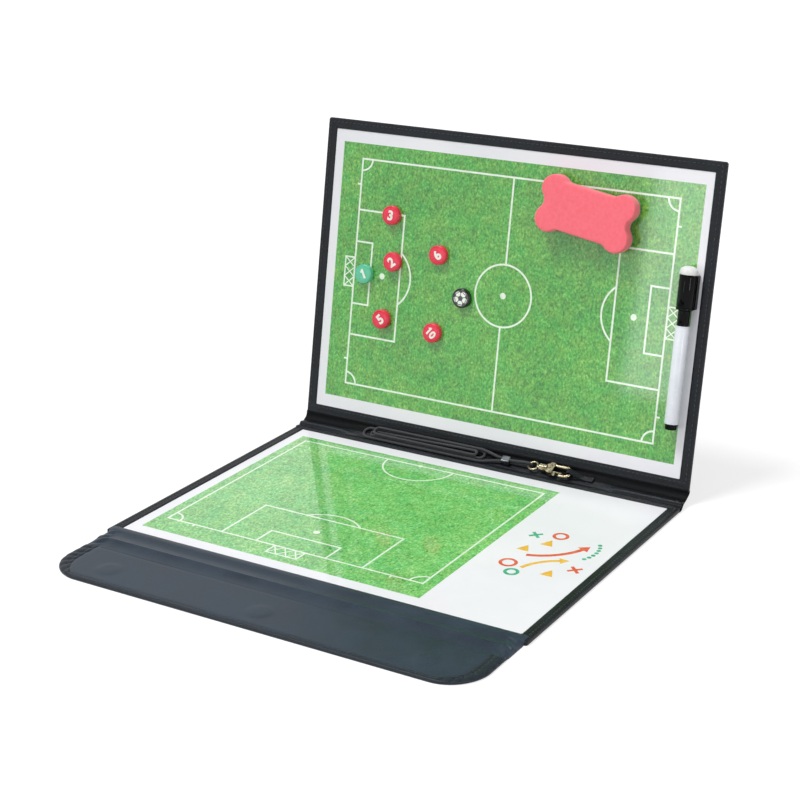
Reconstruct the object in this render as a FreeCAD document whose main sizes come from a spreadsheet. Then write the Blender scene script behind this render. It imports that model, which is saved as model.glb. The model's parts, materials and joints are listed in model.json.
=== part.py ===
"""Folding magnetic tactics board with its markers, eraser, pen and lanyard, in millimetres.

Row frame: the origin is the middle of the lower leaf's underside, +Z is up, X runs along the
spine and +Y points to the spine and the rear leaf. Each piece is built in the frame of the leaf,
strip or pen that carries it, and is placed from there.
"""
import FreeCAD, Part
import math
import os
import re
import Sketcher
from FreeCAD import Placement, Rotation, Vector

doc = FreeCAD.newDocument("tactics_board")
sheet = doc.addObject("Spreadsheet::Sheet", "Sizes")

SIZES = {
    # two equal leaves: skin, grey board, steel sheet, printed sheet, skin border
    "leaf_width": 310,
    "leaf_depth": 222,
    "leaf_corner": 3,
    "border_width": 7.5,
    "lower_spine_border": 3.5,
    "skin": 0.6,
    "board_thickness": 1.3,
    "steel_thickness": 0.3,
    "print_thickness": 0.4,
    "tuck": 0.2,
    # soft strips that fold between stiff pieces
    "spine_width": 15.5,
    "spine_angle": 28,
    "leaf_angle": 100,
    "strip_layer": 0.7,
    "crease_clearance": 0.3,
    # closing flap
    "flap_depth": 47,
    "flap_inset": 2,
    "flap_corner": 26,
    "flap_hem": 6,
    "flap_board": 1.2,
    "flap_clearance": 0.3,
    "flap_magnet_diameter": 15,
    "flap_magnet_spacing": 115,
    "flap_magnet_back": 27,
    # numbered discs and ball disc, places counted from the middle and bottom of the rear window
    "disc_diameter": 14,
    "disc_height": 4.2,
    "disc_round": 0.7,
    "disc_face_diameter": 11.8,
    "disc_face_thickness": 0.4,
    "disc_magnet_diameter": 10.8,
    "disc_magnet_thickness": 1.8,
    "disc_fit": 0.05,
    "magnet_lift": 0.05,
    "player_1_across": -113.5,
    "player_1_up": 104,
    "player_2_across": -90,
    "player_2_up": 116,
    "player_3_across": -94,
    "player_3_up": 149.5,
    "player_5_across": -95.5,
    "player_5_up": 73,
    "player_6_across": -52.5,
    "player_6_up": 126,
    "player_10_across": -52,
    "player_10_up": 69.5,
    "ball_across": -30.5,
    "ball_up": 98,
    # foam eraser with four lobes
    "eraser_across": 62,
    "eraser_from_top": 37,
    "eraser_tilt": -9,
    "eraser_length": 71,
    "eraser_breadth": 40,
    "eraser_lobe": 9.5,
    "eraser_end_notch": 4,
    "eraser_waist": 33,
    "eraser_waist_round": 6,
    "eraser_foam_thickness": 9.8,
    "eraser_felt_thickness": 2.4,
    "eraser_felt_inset": 0.8,
    "eraser_edge": 2.2,
    "eraser_magnet_diameter": 20,
    "eraser_magnet_thickness": 3,
    # marker pen, lengths counted from its tail
    "pen_from_side": 8,
    "pen_up": 34,
    "pen_height": 6.6,
    "pen_tail_show": 4,
    "pen_tail_radius": 3.6,
    "pen_barrel_length": 66.7,
    "pen_barrel_radius": 4.8,
    "pen_barrel_wall": 0.9,
    "pen_plug_length": 5,
    "pen_neck_show": 10.5,
    "pen_neck_radius": 4.15,
    "pen_neck_nose": 10,
    "pen_nose_radius": 3.5,
    "pen_nose_tip_radius": 2.3,
    "pen_nib_radius": 1.6,
    "pen_nib_show": 4,
    "pen_core_radius": 3.4,
    "pen_fit": 0.1,
    "cap_length": 23.5,
    "cap_radius": 5.9,
    "cap_bore_radius": 3.75,
    "cap_bore_depth": 18,
    "cap_gap": 0.3,
    "cap_block_width": 7.5,
    "cap_block_length": 19,
    "cap_magnet_width": 5.5,
    "cap_magnet_length": 14,
    "cap_magnet_thickness": 1.6,
    "cap_felt_radius": 6.4,
    "cap_felt_height": 5.7,
    "cap_felt_round": 4.6,
    "cap_felt_plug_radius": 4.2,
    "cap_felt_plug_length": 2,
    # lanyard, lengths counted along the spine from its middle
    "cord_diameter": 2,
    "cord_pitch": 2.5,
    "cord_rest_gap": 0.15,
    "hank_left": -95,
    "hank_right": -2,
    "hank_step": 4,
    "crimp_left": 17,
    "crimp_length": 6,
    "crimp_width": 5.2,
    "crimp_height": 4.8,
    "crimp_edge": 0.8,
    "crimp_lanes": 2.5,
    "ring_centre": 41.5,
    "ring_radius": 3.4,
    "ring_wire": 0.8,
    "ring_cord_gap": 0.2,
    "stem_radius": 1,
    "stem_head_radius": 1.8,
    "stem_head_length": 1.2,
    "swivel_fit": 0.1,
    "collar_radius": 2.8,
    "collar_wall": 2.3,
    "collar_start": 5.5,
    "collar_length": 5.5,
    "clasp_thickness": 3.4,
    "clasp_half_width": 5.1,
    "clasp_lap": 0.5,
    "clasp_shoulder": 3,
    "clasp_mouth_relief": 0.9,
    "hook_leg": 9,
    "hook_wire": 1.1,
    "hook_half_width": 4,
    "hook_reach": 25,
    "hook_mouth": 3.5,
    "pin_back": 10.5,
    "pin_aside": 2.9,
    "trigger_heel": 1.4,
    "trigger_eye": 1,
    "trigger_thumb_reach": 4,
    "trigger_thumb_width": 1,
    "trigger_thumb_out": 2.5,
    "trigger_tip_lap": 1.5,
    "trigger_tip_width": 1.1,
    "trigger_tip_gap": 0.2,
    "trigger_swing_room": 0.8,
    "trigger_thickness": 1.3,
    "trigger_slot_play": 0.1,
    "pin_radius": 0.6,
    "pin_fit": 0.02,
    "trigger_bore_fit": 0.08,
    "tab_thickness": 0.8,
    "tab_width": 3.8,
    "tab_sewn_length": 8,
    "tab_slope_length": 9,
    "tab_bore_radius": 2.4,
}

# sizes that follow from the ones above
DERIVED = {
    "leaf_thickness": "2 * skin + board_thickness + steel_thickness + print_thickness",
    "print_top": "leaf_thickness - skin",
    "leaf_half": "leaf_width / 2",
    "crease_offset": "strip_layer + crease_clearance",
    "flap_thickness": "2 * skin + flap_board",
    "gusset_width": "leaf_thickness + spine_width + flap_clearance - flap_thickness",
    "flap_half": "leaf_half - flap_inset",
    "pen_barrel_bore": "pen_barrel_radius - pen_barrel_wall",
    "pen_barrel_front": "pen_tail_show + pen_barrel_length",
    "pen_neck_front": "pen_barrel_front + pen_neck_show",
    "pen_nose_front": "pen_neck_front + pen_neck_nose",
    "pen_nib_front": "pen_nose_front + pen_nib_show",
    "cap_start": "pen_neck_front + cap_gap",
    "cap_end": "cap_start + cap_length",
    "clasp_rise": "strip_layer + tab_thickness + tab_bore_radius",
    "spine_middle": "spine_width / 2",
    "eraser_up": "leaf_depth - 2 * border_width - eraser_from_top",
    "pen_across": "leaf_half - border_width - pen_from_side",
}

for row, (name, value) in enumerate(SIZES.items(), start=1):
    sheet.set(f"A{row}", name)
    sheet.set(f"B{row}", str(value))
    sheet.setAlias(f"B{row}", name)
doc.recompute()

nodes = []


def tied(formula):
    """The formula with each name replaced by its cell of the sheet."""
    def cell(match):
        word = match.group(0)
        if word in DERIVED:
            return "(" + tied(DERIVED[word]) + ")"
        return "Sizes." + word if word in SIZES else word
    return re.sub(r"[a-z]\w*", cell, str(formula))


def size(formula):
    """The formula's value now."""
    return float(sheet.evalExpression(tied(formula)))


def bind(item, **formulas):
    """Tie an object's properties to formulas of the sheet."""
    for name, formula in formulas.items():
        item.setExpression(name, tied(formula))


def node(item, label, place=Placement()):
    """Name a finished piece and put it in its place."""
    item.Label = label
    item.Placement = place.multiply(item.Placement)
    nodes.append(item)
    return item


def sketch_in(body, plane, lift="0"):
    """A sketch on one of the body's own planes, raised along its normal."""
    sketch = body.newObject("Sketcher::SketchObject", body.Name + "_outline")
    support = next(item for item in body.Origin.OriginFeatures if item.Role == plane)
    sketch.AttachmentSupport = [(support, "")]
    sketch.MapMode = "FlatFace"
    sketch.setExpression("AttachmentOffset.Base.z", tied(lift))
    return sketch


def draw_polygon(sketch, corners):
    """A closed outline whose corners are pairs of formulas."""
    first = sketch.GeometryCount
    count = len(corners)
    points = [Vector(size(across), size(up), 0) for across, up in corners]
    for index, point in enumerate(points):
        sketch.addGeometry(Part.LineSegment(point, points[(index + 1) % count]), False)
    for index, (across, up) in enumerate(corners):
        line = first + index
        after = first + (index + 1) % count
        sketch.addConstraint(Sketcher.Constraint("Coincident", line, 2, after, 1))
        for kind, formula in (("DistanceX", across), ("DistanceY", up)):
            rule = Sketcher.Constraint(kind, -1, 1, line, 1, size(formula))
            number = sketch.addConstraint(rule)
            sketch.setExpression(f"Constraints[{number}]", tied(formula))


def padded(name, corners, low, high):
    """A body with one outline padded along Z from low to high."""
    body = doc.addObject("PartDesign::Body", name)
    sketch = sketch_in(body, "XY_Plane", low)
    draw_polygon(sketch, corners)
    pad = body.newObject("PartDesign::Pad", name + "_pad")
    pad.Profile = sketch
    bind(pad, Length=f"({high}) - ({low})")
    doc.recompute()
    return body


def turned(name, corners):
    """A body turned about its Z axis from corners given as radius and height."""
    body = doc.addObject("PartDesign::Body", name)
    sketch = sketch_in(body, "XZ_Plane")
    draw_polygon(sketch, corners)
    turn = body.newObject("PartDesign::Revolution", name + "_turn")
    turn.Profile = sketch
    turn.ReferenceAxis = (sketch, ["V_Axis"])
    turn.Angle = 360
    doc.recompute()
    return body


def rounded(body, radius, chosen):
    """Fillet the body's edges that the test picks."""
    base = body.Tip
    names = [f"Edge{i}" for i, edge in enumerate(base.Shape.Edges, start=1) if chosen(edge)]
    fillet = body.newObject("PartDesign::Fillet", body.Name + "_round")
    fillet.Base = (base, names)
    bind(fillet, Radius=radius)
    doc.recompute()
    return body


def upright(edge):
    """True for a straight edge along Z."""
    line = edge.Vertexes[-1].Point - edge.Vertexes[0].Point
    return line.Length > 0 and abs(line.z) > 0.99 * line.Length


def ring_at(height, radius):
    """A test for the round edge at that height and radius."""
    def chosen(edge):
        curve = edge.Curve
        if not isinstance(curve, Part.Circle):
            return False
        return abs(curve.Center.z - size(height)) < 1e-4 and abs(curve.Radius - size(radius)) < 1e-4
    return chosen


def slab(name, half, near, far, low, high, corner=None):
    """A plate about X = 0, from near to far along Y, with its two far corners rounded."""
    corners = [(f"-({half})", near), (half, near), (half, far), (f"-({half})", far)]
    body = padded(name, corners, low, high)
    if corner is None:
        return body
    middle = size(f"(({near}) + ({far})) / 2")
    return rounded(body, corner, lambda edge: upright(edge) and edge.Vertexes[0].Point.y > middle)


def cut(name, base, *tools):
    """The base less each tool in turn."""
    for tool in tools:
        step = doc.addObject("Part::Cut", name + "_cut")
        step.Base = base
        step.Tool = tool
        base = step
    doc.recompute()
    return base


def fused(name, *pieces):
    """Several solids as one piece."""
    joined = doc.addObject("Part::MultiFuse", name)
    joined.Shapes = list(pieces)
    joined.Refine = True
    doc.recompute()
    return joined


def cylinder(name, radius, length, place=Placement()):
    """A round bar along Z of its place."""
    bar = doc.addObject("Part::Cylinder", name)
    bind(bar, Radius=radius, Height=length)
    bar.Placement = place
    doc.recompute()
    return bar


def box(name, low, high):
    """A block between two corners given as formulas."""
    block = doc.addObject("Part::Box", name)
    spans = [f"({b}) - ({a})" for a, b in zip(low, high)]
    bind(block, Length=spans[0], Width=spans[1], Height=spans[2])
    block.Placement = Placement(Vector(*map(size, low)), Rotation())
    doc.recompute()
    return block


def solid(name, shape):
    """A piece whose shape is swept or cut from curves."""
    item = doc.addObject("Part::Feature", name)
    item.Shape = shape
    return item


# Frames of the leaves, strips, flap and pen

ABOUT_X = Vector(1, 0, 0)
ABOUT_Y = Vector(0, 1, 0)
ABOUT_Z = Vector(0, 0, 1)
X_FROM_Z = Rotation(ABOUT_Y, 90)
FACING_FRONT = Rotation(ABOUT_Z, 180)

spine_crease = Vector(0, size("leaf_depth / 2 + crease_offset"), size("leaf_thickness / 2"))
spine_turn = Rotation(ABOUT_X, size("spine_angle"))
leaf_turn = Rotation(ABOUT_X, 180 - size("leaf_angle"))
rear_crease = spine_crease + spine_turn.multVec(Vector(0, size("spine_width"), 0))
rear_edge = leaf_turn.multVec(Vector(0, size("crease_offset"), -size("leaf_thickness / 2")))
gusset_crease = Vector(0, -size("leaf_depth / 2 + crease_offset"), size("flap_thickness"))
flap_crease = gusset_crease - Vector(0, size("gusset_width"), 0)

LOWER_LEAF = Placement(Vector(0, size("leaf_depth / 2"), 0), FACING_FRONT)
REAR_LEAF = Placement(rear_crease + rear_edge, leaf_turn)
SPINE = Placement(spine_crease, spine_turn)
GUSSET = Placement(gusset_crease, FACING_FRONT)
FLAP = Placement(flap_crease - Vector(0, 0, size("flap_thickness")), FACING_FRONT)
LANYARD = SPINE.multiply(Placement(Vector(0, size("spine_middle"), 0), Rotation()))


def on_rear_sheet(across, up, height="magnet_lift", turn=Rotation()):
    """A place on the rear print, from the middle and bottom of its window."""
    spot = Vector(size(across), size(f"border_width + {up}"), size(f"print_top + {height}"))
    return REAR_LEAF.multiply(Placement(spot, turn))


def leaf(side, spine_border, place):
    """One leaf as a stack of plates inside its skin, with a border round the sheet."""
    def layer(name, inset, low, high):
        return slab(f"{side}_{name}", f"leaf_half - ({inset})", inset, f"leaf_depth - ({inset})",
                    low, high, f"leaf_corner - ({inset})" if size(inset) < size("leaf_corner") else None)

    outside = layer("cover_stock", "0", "0", "print_top")
    inside = layer("cover_room", "skin", "skin", "leaf_thickness")
    node(cut(f"{side}_cover", outside, inside), f"{side}_cover", place)
    stack = (("board", "board_thickness"), ("steel", "steel_thickness"), ("print", "print_thickness"))
    low = "skin"
    for name, thickness in stack:
        high = f"{low} + {thickness}"
        node(layer(name, "skin + tuck", low, high), f"{side}_{name}", place)
        low = high
    ring = layer("border_stock", "0", "print_top", "leaf_thickness")
    window = slab(f"{side}_border_window", "leaf_half - border_width", spine_border,
                  "leaf_depth - border_width", "0", "2 * leaf_thickness")
    node(cut(f"{side}_border", ring, window), f"{side}_border", place)


def strip(name, width, half, place):
    """A soft strip of two sewn layers, round at both creases so that it can fold there."""
    layer = size("strip_layer")
    far = size(width)
    for part, sign in (("cover", -1), ("lining", 1)):
        body = doc.addObject("PartDesign::Body", f"{name}_{part}")
        sketch = sketch_in(body, "YZ_Plane")
        near_end = Vector(-layer, 0, 0)
        near_side = Vector(0, sign * layer, 0)
        far_side = Vector(far, sign * layer, 0)
        far_end = Vector(far + layer, 0, 0)
        bow = layer * math.sqrt(0.5)
        near_bow = Vector(-bow, sign * bow, 0)
        far_bow = Vector(far + bow, sign * bow, 0)
        sketch.addGeometry(Part.Arc(near_end, near_bow, near_side), False)
        sketch.addGeometry(Part.LineSegment(near_side, far_side), False)
        sketch.addGeometry(Part.Arc(far_side, far_bow, far_end), False)
        sketch.addGeometry(Part.LineSegment(far_end, near_end), False)
        pad = body.newObject("PartDesign::Pad", f"{name}_{part}_pad")
        pad.Profile = sketch
        pad.Midplane = True
        bind(pad, Length=f"2 * ({half})")
        doc.recompute()
        node(body, f"{name}_{part}", place)


def flap():
    """The closing flap: skin with a turned-in hem, lining, stiffener and hidden magnets."""
    def plate(name, inset, near, low, high):
        return slab(name, f"flap_half - ({inset})", f"crease_offset + ({near})",
                    f"flap_depth - ({inset})", low, high, f"flap_corner - ({inset})")

    stock = plate("flap_stock", "0", "0", "0", "flap_thickness")
    room = plate("flap_room", "skin", "skin", "skin", "flap_thickness - skin")
    opening = plate("flap_opening", "flap_hem", "skin", "skin", "2 * flap_thickness")
    node(cut("flap_cover", stock, room, opening), "flap_cover", FLAP)
    lining = plate("flap_lining", "flap_hem + tuck", "skin + tuck", "flap_thickness - skin", "flap_thickness")
    node(lining, "flap_lining", FLAP)
    board = plate("flap_board", "skin + tuck", "skin + tuck", "skin", "flap_thickness - skin")
    holes = []
    magnets = []
    for side in (-1, 0, 1):
        spot = Vector(side * size("flap_magnet_spacing"), size("flap_magnet_back"), size("skin"))
        place = Placement(spot, Rotation())
        holes.append(cylinder("flap_hole", "flap_magnet_diameter / 2 + tuck", "flap_board", place))
        magnets.append(cylinder("flap_magnet", "flap_magnet_diameter / 2", "flap_board", place))
    node(cut("flap_stiffener", board, *holes), "flap_stiffener", FLAP)
    group = doc.addObject("Part::Compound", "flap_magnets")
    group.Links = magnets
    doc.recompute()
    node(group, "flap_magnets", FLAP)


def disc(name):
    """A plastic cap with a recessed printed face on top and a magnet in its underside."""
    place = on_rear_sheet(f"{name}_across", f"{name}_up")
    magnet_room = "disc_magnet_diameter / 2 + disc_fit"
    face_room = "disc_face_diameter / 2 + disc_fit"
    face_floor = "disc_height - disc_face_thickness"
    cap = turned(f"{name}_cap", [
        ("0", "disc_magnet_thickness"), (magnet_room, "disc_magnet_thickness"), (magnet_room, "0"),
        ("disc_diameter / 2", "0"), ("disc_diameter / 2", "disc_height"), (face_room, "disc_height"),
        (face_room, face_floor), ("0", face_floor)])
    rounded(cap, "disc_round", ring_at("disc_height", "disc_diameter / 2"))
    node(cap, f"{name}_cap", place)
    face = cylinder(f"{name}_face", "disc_face_diameter / 2", "disc_face_thickness - disc_fit",
                    Placement(Vector(0, 0, size(face_floor)), Rotation()))
    node(face, f"{name}_face", place)
    node(cylinder(f"{name}_magnet", "disc_magnet_diameter / 2", "disc_magnet_thickness"),
         f"{name}_magnet", place)


def bone_outline(inset):
    """The eraser's outline: four round lobes, a notch in each end and a drawn-in waist."""
    lobe = size("eraser_lobe") - inset
    lobe_x = size("eraser_length / 2 - eraser_lobe")
    lobe_y = size("eraser_breadth / 2 - eraser_lobe")
    notch_x = size("eraser_length / 2 - eraser_end_notch") - inset
    waist_y = size("eraser_waist / 2") - inset
    waist_round = size("eraser_waist_round") + inset
    lead = notch_x - lobe_x
    notch_round = (lead ** 2 + lobe_y ** 2 - lobe ** 2) / (2 * (lobe - lead))
    lobe_centre = Vector(lobe_x, lobe_y, 0)
    notch_centre = Vector(notch_x + notch_round, 0, 0)
    rise = waist_y + waist_round - lobe_y
    waist_x = lobe_x - math.sqrt((lobe + waist_round) ** 2 - rise ** 2)
    waist_centre = Vector(waist_x, waist_y + waist_round, 0)

    notch_point = lobe_centre + (notch_centre - lobe_centre).normalize() * lobe
    waist_point = lobe_centre + (waist_centre - lobe_centre).normalize() * lobe
    lobe_peak = lobe_centre + Vector(1, 1, 0).normalize() * lobe
    to_lobe = (waist_point - waist_centre).normalize()
    to_waist = Vector(0, -1, 0)
    waist_mid = waist_centre + (to_lobe + to_waist).normalize() * waist_round
    waist_end = Vector(waist_x, waist_y, 0)

    def flipped(point, x_sign, y_sign):
        return Vector(point.x * x_sign, point.y * y_sign, 0)

    edges = []
    for x_sign in (1, -1):
        notch_low = flipped(notch_point, x_sign, -1)
        notch_deep = Vector(x_sign * notch_x, 0, 0)
        edges.append(Part.Arc(notch_low, notch_deep, flipped(notch_point, x_sign, 1)))
        for y_sign in (1, -1):
            corner = [flipped(point, x_sign, y_sign) for point in
                      (notch_point, lobe_peak, waist_point, waist_mid, waist_end)]
            edges.append(Part.Arc(*corner[:3]))
            edges.append(Part.Arc(*corner[2:]))
    for y_sign in (1, -1):
        edges.append(Part.LineSegment(flipped(waist_end, 1, y_sign), flipped(waist_end, -1, y_sign)))
    return edges


def bone(name, inset, low, high):
    """A body with the eraser's outline, padded from low to high."""
    body = doc.addObject("PartDesign::Body", name)
    sketch = sketch_in(body, "XY_Plane", low)
    sketch.addGeometry(bone_outline(size(inset)), False)
    pad = body.newObject("PartDesign::Pad", name + "_pad")
    pad.Profile = sketch
    bind(pad, Length=f"({high}) - ({low})")
    doc.recompute()
    return body


def eraser():
    """A foam block with a felt wiping pad and a magnet sealed above the felt."""
    place = on_rear_sheet("eraser_across", "eraser_up", turn=Rotation(ABOUT_Z, size("eraser_tilt")))
    top = "eraser_felt_thickness + eraser_foam_thickness"
    foam = bone("eraser_block", "0", "eraser_felt_thickness", top)
    rounded(foam, "eraser_edge", lambda edge: min(v.Z for v in edge.Vertexes) > size(top) - 1e-4)
    seat = Placement(Vector(0, 0, size("eraser_felt_thickness")), Rotation())
    room = cylinder("eraser_room", "eraser_magnet_diameter / 2 + tuck", "eraser_magnet_thickness", seat)
    node(cut("eraser_foam", foam, room), "eraser_foam", place)
    magnet = cylinder("eraser_magnet", "eraser_magnet_diameter / 2", "eraser_magnet_thickness", seat)
    node(magnet, "eraser_magnet", place)
    node(bone("eraser_felt", "eraser_felt_inset", "0", "eraser_felt_thickness"), "eraser_felt", place)


def pen():
    """The marker: barrel, tail plug, neck, nib and ink core, in a magnetic cap with a felt end."""
    place = on_rear_sheet("pen_across", "pen_up", "pen_height", Rotation(ABOUT_X, -90))
    bore = "pen_barrel_bore"
    plug = f"{bore} - pen_fit"
    plug_front = "pen_tail_show + pen_plug_length"
    neck_back = "pen_barrel_front - pen_plug_length"
    nib_room = "pen_nib_radius + pen_fit"

    barrel = turned("pen_barrel", [
        (bore, "pen_tail_show"), ("pen_barrel_radius", "pen_tail_show"),
        ("pen_barrel_radius", "pen_barrel_front"), (bore, "pen_barrel_front")])
    rounded(barrel, "pen_barrel_wall / 2", ring_at("pen_barrel_front", "pen_barrel_radius"))
    node(barrel, "pen_barrel", place)

    tail = turned("pen_tail_plug", [
        ("0", "0"), ("pen_tail_radius", "0"), ("pen_tail_radius", "pen_tail_show"),
        (plug, "pen_tail_show"), (plug, plug_front), ("0", plug_front)])
    rounded(tail, "pen_tail_radius / 4", ring_at("0", "pen_tail_radius"))
    node(tail, "pen_tail_plug", place)

    neck = turned("pen_neck", [
        (nib_room, neck_back), (plug, neck_back), (plug, "pen_barrel_front"),
        ("pen_neck_radius", "pen_barrel_front"), ("pen_neck_radius", "pen_neck_front"),
        ("pen_nose_radius", "pen_neck_front"), ("pen_nose_radius", "pen_neck_front + pen_neck_nose / 2"),
        ("pen_nose_tip_radius", "pen_nose_front"), (nib_room, "pen_nose_front")])
    node(neck, "pen_neck", place)

    nib = turned("pen_nib", [
        ("0", neck_back), ("pen_nib_radius", neck_back), ("pen_nib_radius", "pen_nib_front"),
        ("0", "pen_nib_front")])
    rounded(nib, "pen_nib_radius * 0.8", ring_at("pen_nib_front", "pen_nib_radius"))
    node(nib, "pen_nib", place)

    core_start = Placement(Vector(0, 0, size(plug_front)), Rotation())
    core = cylinder("pen_ink_core", "pen_core_radius", f"({neck_back}) - ({plug_front})", core_start)
    node(core, "pen_ink_core", place)

    felt_floor = "cap_end - cap_felt_plug_length"
    felt_room = "cap_felt_plug_radius + pen_fit"
    cup = turned("pen_cap_cup", [
        ("cap_bore_radius", "cap_start"), ("cap_radius", "cap_start"), ("cap_radius", "cap_end"),
        (felt_room, "cap_end"), (felt_room, felt_floor), ("0", felt_floor),
        ("0", "cap_start + cap_bore_depth"), ("cap_bore_radius", "cap_start + cap_bore_depth")])
    rounded(cup, "pen_barrel_wall", ring_at("cap_end", "cap_radius"))
    middle = "cap_start + cap_length / 2"
    board_side = "pen_height - magnet_lift"
    block = box("pen_cap_block",
                ("-cap_block_width / 2", "cap_bore_radius + pen_fit", f"{middle} - cap_block_length / 2"),
                ("cap_block_width / 2", board_side, f"{middle} + cap_block_length / 2"))
    magnet_low = ("-cap_magnet_width / 2", f"{board_side} - cap_magnet_thickness",
                  f"{middle} - cap_magnet_length / 2")
    magnet_high = ("cap_magnet_width / 2", board_side, f"{middle} + cap_magnet_length / 2")
    room = box("pen_cap_magnet_room", magnet_low, magnet_high)
    node(cut("pen_cap", fused("pen_cap_stock", cup, block), room), "pen_cap", place)
    node(box("pen_cap_magnet", magnet_low, magnet_high), "pen_cap_magnet", place)

    felt = turned("pen_cap_felt", [
        ("0", felt_floor), ("cap_felt_plug_radius", felt_floor), ("cap_felt_plug_radius", "cap_end"),
        ("cap_felt_radius", "cap_end"), ("cap_felt_radius", "cap_end + cap_felt_height"),
        ("0", "cap_end + cap_felt_height")])
    rounded(felt, "cap_felt_round", ring_at("cap_end + cap_felt_height", "cap_felt_radius"))
    node(felt, "pen_cap_felt", place)


def half_turn(start, end, along):
    """A half circle from start to end that bulges along the given direction."""
    middle = (start + end) * 0.5
    return [Part.Arc(start, middle + along * (end - start).Length * 0.5, end).toShape()]


def ogee(start, end):
    """Two equal arcs that carry the cord sideways between two parallel runs along X."""
    offset = end - start
    reach = abs(offset.x)
    ahead = Vector(math.copysign(1, offset.x), 0, 0)
    aside = Vector(0, offset.y, offset.z)
    shift = aside.Length
    if shift < 0.01:
        return run(start, end)
    aside.normalize()
    radius = (reach ** 2 + shift ** 2) / (4 * shift)
    sweep = math.atan2(reach / 2, radius - shift / 2)
    bow = ahead * (radius * math.sin(sweep / 2)) + aside * (radius * (1 - math.cos(sweep / 2)))
    middle = (start + end) * 0.5
    return [Part.Arc(start, start + bow, middle).toShape(), Part.Arc(middle, end - bow, end).toShape()]


def run(start, end):
    """A straight stretch."""
    return [Part.makeLine(start, end)]


def tube(edges, radius):
    """A round solid along the edges, whose volume is compared with section times length."""
    path = Part.Wire(edges)
    start = edges[0].valueAt(edges[0].FirstParameter)
    heading = edges[0].tangentAt(edges[0].FirstParameter)
    section = Part.Wire([Part.makeCircle(radius, start, heading)])
    shell = Part.BRepOffsetAPI.MakePipeShell(path)
    shell.add(section)
    shell.build()
    shell.makeSolid()
    shape = shell.shape()
    expected = math.pi * radius ** 2 * path.Length
    print(f"tube length {path.Length:.1f}, volume over section times length {shape.Volume / expected:.4f}")
    return shape


def least_gap(edges, diameter):
    """The least clear distance between two stretches of a tube, measured on points."""
    spacing = diameter / 2
    points = Part.Wire(edges).discretize(Distance=spacing)
    skip = int(2.5 * diameter / spacing)
    nearest = min((a - b).Length for i, a in enumerate(points) for b in points[i + skip:])
    return nearest - diameter


def lanyard_hank():
    """The folded cord: two loops on the strip, a climb along a run, one more loop on top."""
    diameter = size("cord_diameter")
    pitch = size("cord_pitch")
    inner = diameter
    outer = inner + pitch
    bottom = size("strip_layer + cord_rest_gap") + diameter / 2
    top = bottom + pitch
    left = size("hank_left")
    right = size("hank_right")
    step = size("hank_step")
    crimp = size("crimp_left")
    crimp_lane = size("crimp_lanes / 2")
    crimp_rise = size("strip_layer + cord_rest_gap + crimp_height / 2")
    leftward = Vector(-1, 0, 0)
    rightward = Vector(1, 0, 0)
    entry = Vector(crimp, -crimp_lane, crimp_rise)
    leave = Vector(crimp, crimp_lane, crimp_rise)
    edges = run(entry, entry + leftward * diameter)
    edges += ogee(entry + leftward * diameter, Vector(right, -outer, bottom))
    edges += run(Vector(right, -outer, bottom), Vector(left, -outer, bottom))
    edges += half_turn(Vector(left, -outer, bottom), Vector(left, outer, bottom), leftward)
    edges += run(Vector(left, outer, bottom), Vector(right, outer, bottom))
    edges += half_turn(Vector(right, outer, bottom), Vector(right, -inner, bottom), rightward)
    edges += run(Vector(right, -inner, bottom), Vector(left + step, -inner, bottom))
    edges += half_turn(Vector(left + step, -inner, bottom), Vector(left + step, inner, bottom), leftward)
    edges += ogee(Vector(left + step, inner, bottom), Vector(right - step, inner, top))
    edges += half_turn(Vector(right - step, inner, top), Vector(right - step, -inner, top), rightward)
    edges += run(Vector(right - step, -inner, top), Vector(left + 2 * step, -inner, top))
    edges += half_turn(Vector(left + 2 * step, -inner, top), Vector(left + 2 * step, outer, top), leftward)
    edges += run(Vector(left + 2 * step, outer, top), Vector(right, outer, top))
    edges += ogee(Vector(right, outer, top), leave + leftward * diameter)
    edges += run(leave + leftward * diameter, leave)
    print(f"hank least gap to itself {least_gap(edges, diameter):.2f}")
    node(solid("lanyard_cord", tube(edges, diameter / 2)), "lanyard_cord", LANYARD)


def lanyard_fittings():
    """The ferrule on the cord's ends and the short loop from it through the swivel's ring."""
    floor = "strip_layer + cord_rest_gap"
    ferrule = padded("lanyard_crimp", [
        ("crimp_left", "-crimp_width / 2"), ("crimp_left + crimp_length", "-crimp_width / 2"),
        ("crimp_left + crimp_length", "crimp_width / 2"), ("crimp_left", "crimp_width / 2")],
        floor, f"{floor} + crimp_height")

    def lengthwise(edge):
        line = edge.Vertexes[-1].Point - edge.Vertexes[0].Point
        return abs(line.x) > 0.99 * line.Length

    rounded(ferrule, "crimp_edge", lengthwise)
    node(ferrule, "lanyard_crimp", LANYARD)

    diameter = size("cord_diameter")
    start_x = size("crimp_left + crimp_length")
    rise = size(f"{floor} + crimp_height / 2")
    lane = size("crimp_lanes / 2")
    ring_x = size("ring_centre - ring_radius")
    ring_rise = size("clasp_rise")
    bend = size("ring_wire + ring_cord_gap") + diameter / 2
    ahead = Vector(diameter, 0, 0)
    low_start = Vector(start_x, 0, rise - lane)
    high_start = Vector(start_x, 0, rise + lane)
    low_end = Vector(ring_x, 0, ring_rise - bend)
    high_end = Vector(ring_x, 0, ring_rise + bend)
    edges = run(low_start, low_start + ahead)
    edges += ogee(low_start + ahead, low_end)
    edges += half_turn(low_end, high_end, Vector(1, 0, 0))
    edges += ogee(high_end, high_start + ahead)
    edges += run(high_start + ahead, high_start)
    node(solid("lanyard_loop", tube(edges, diameter / 2)), "lanyard_loop", LANYARD)


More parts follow.
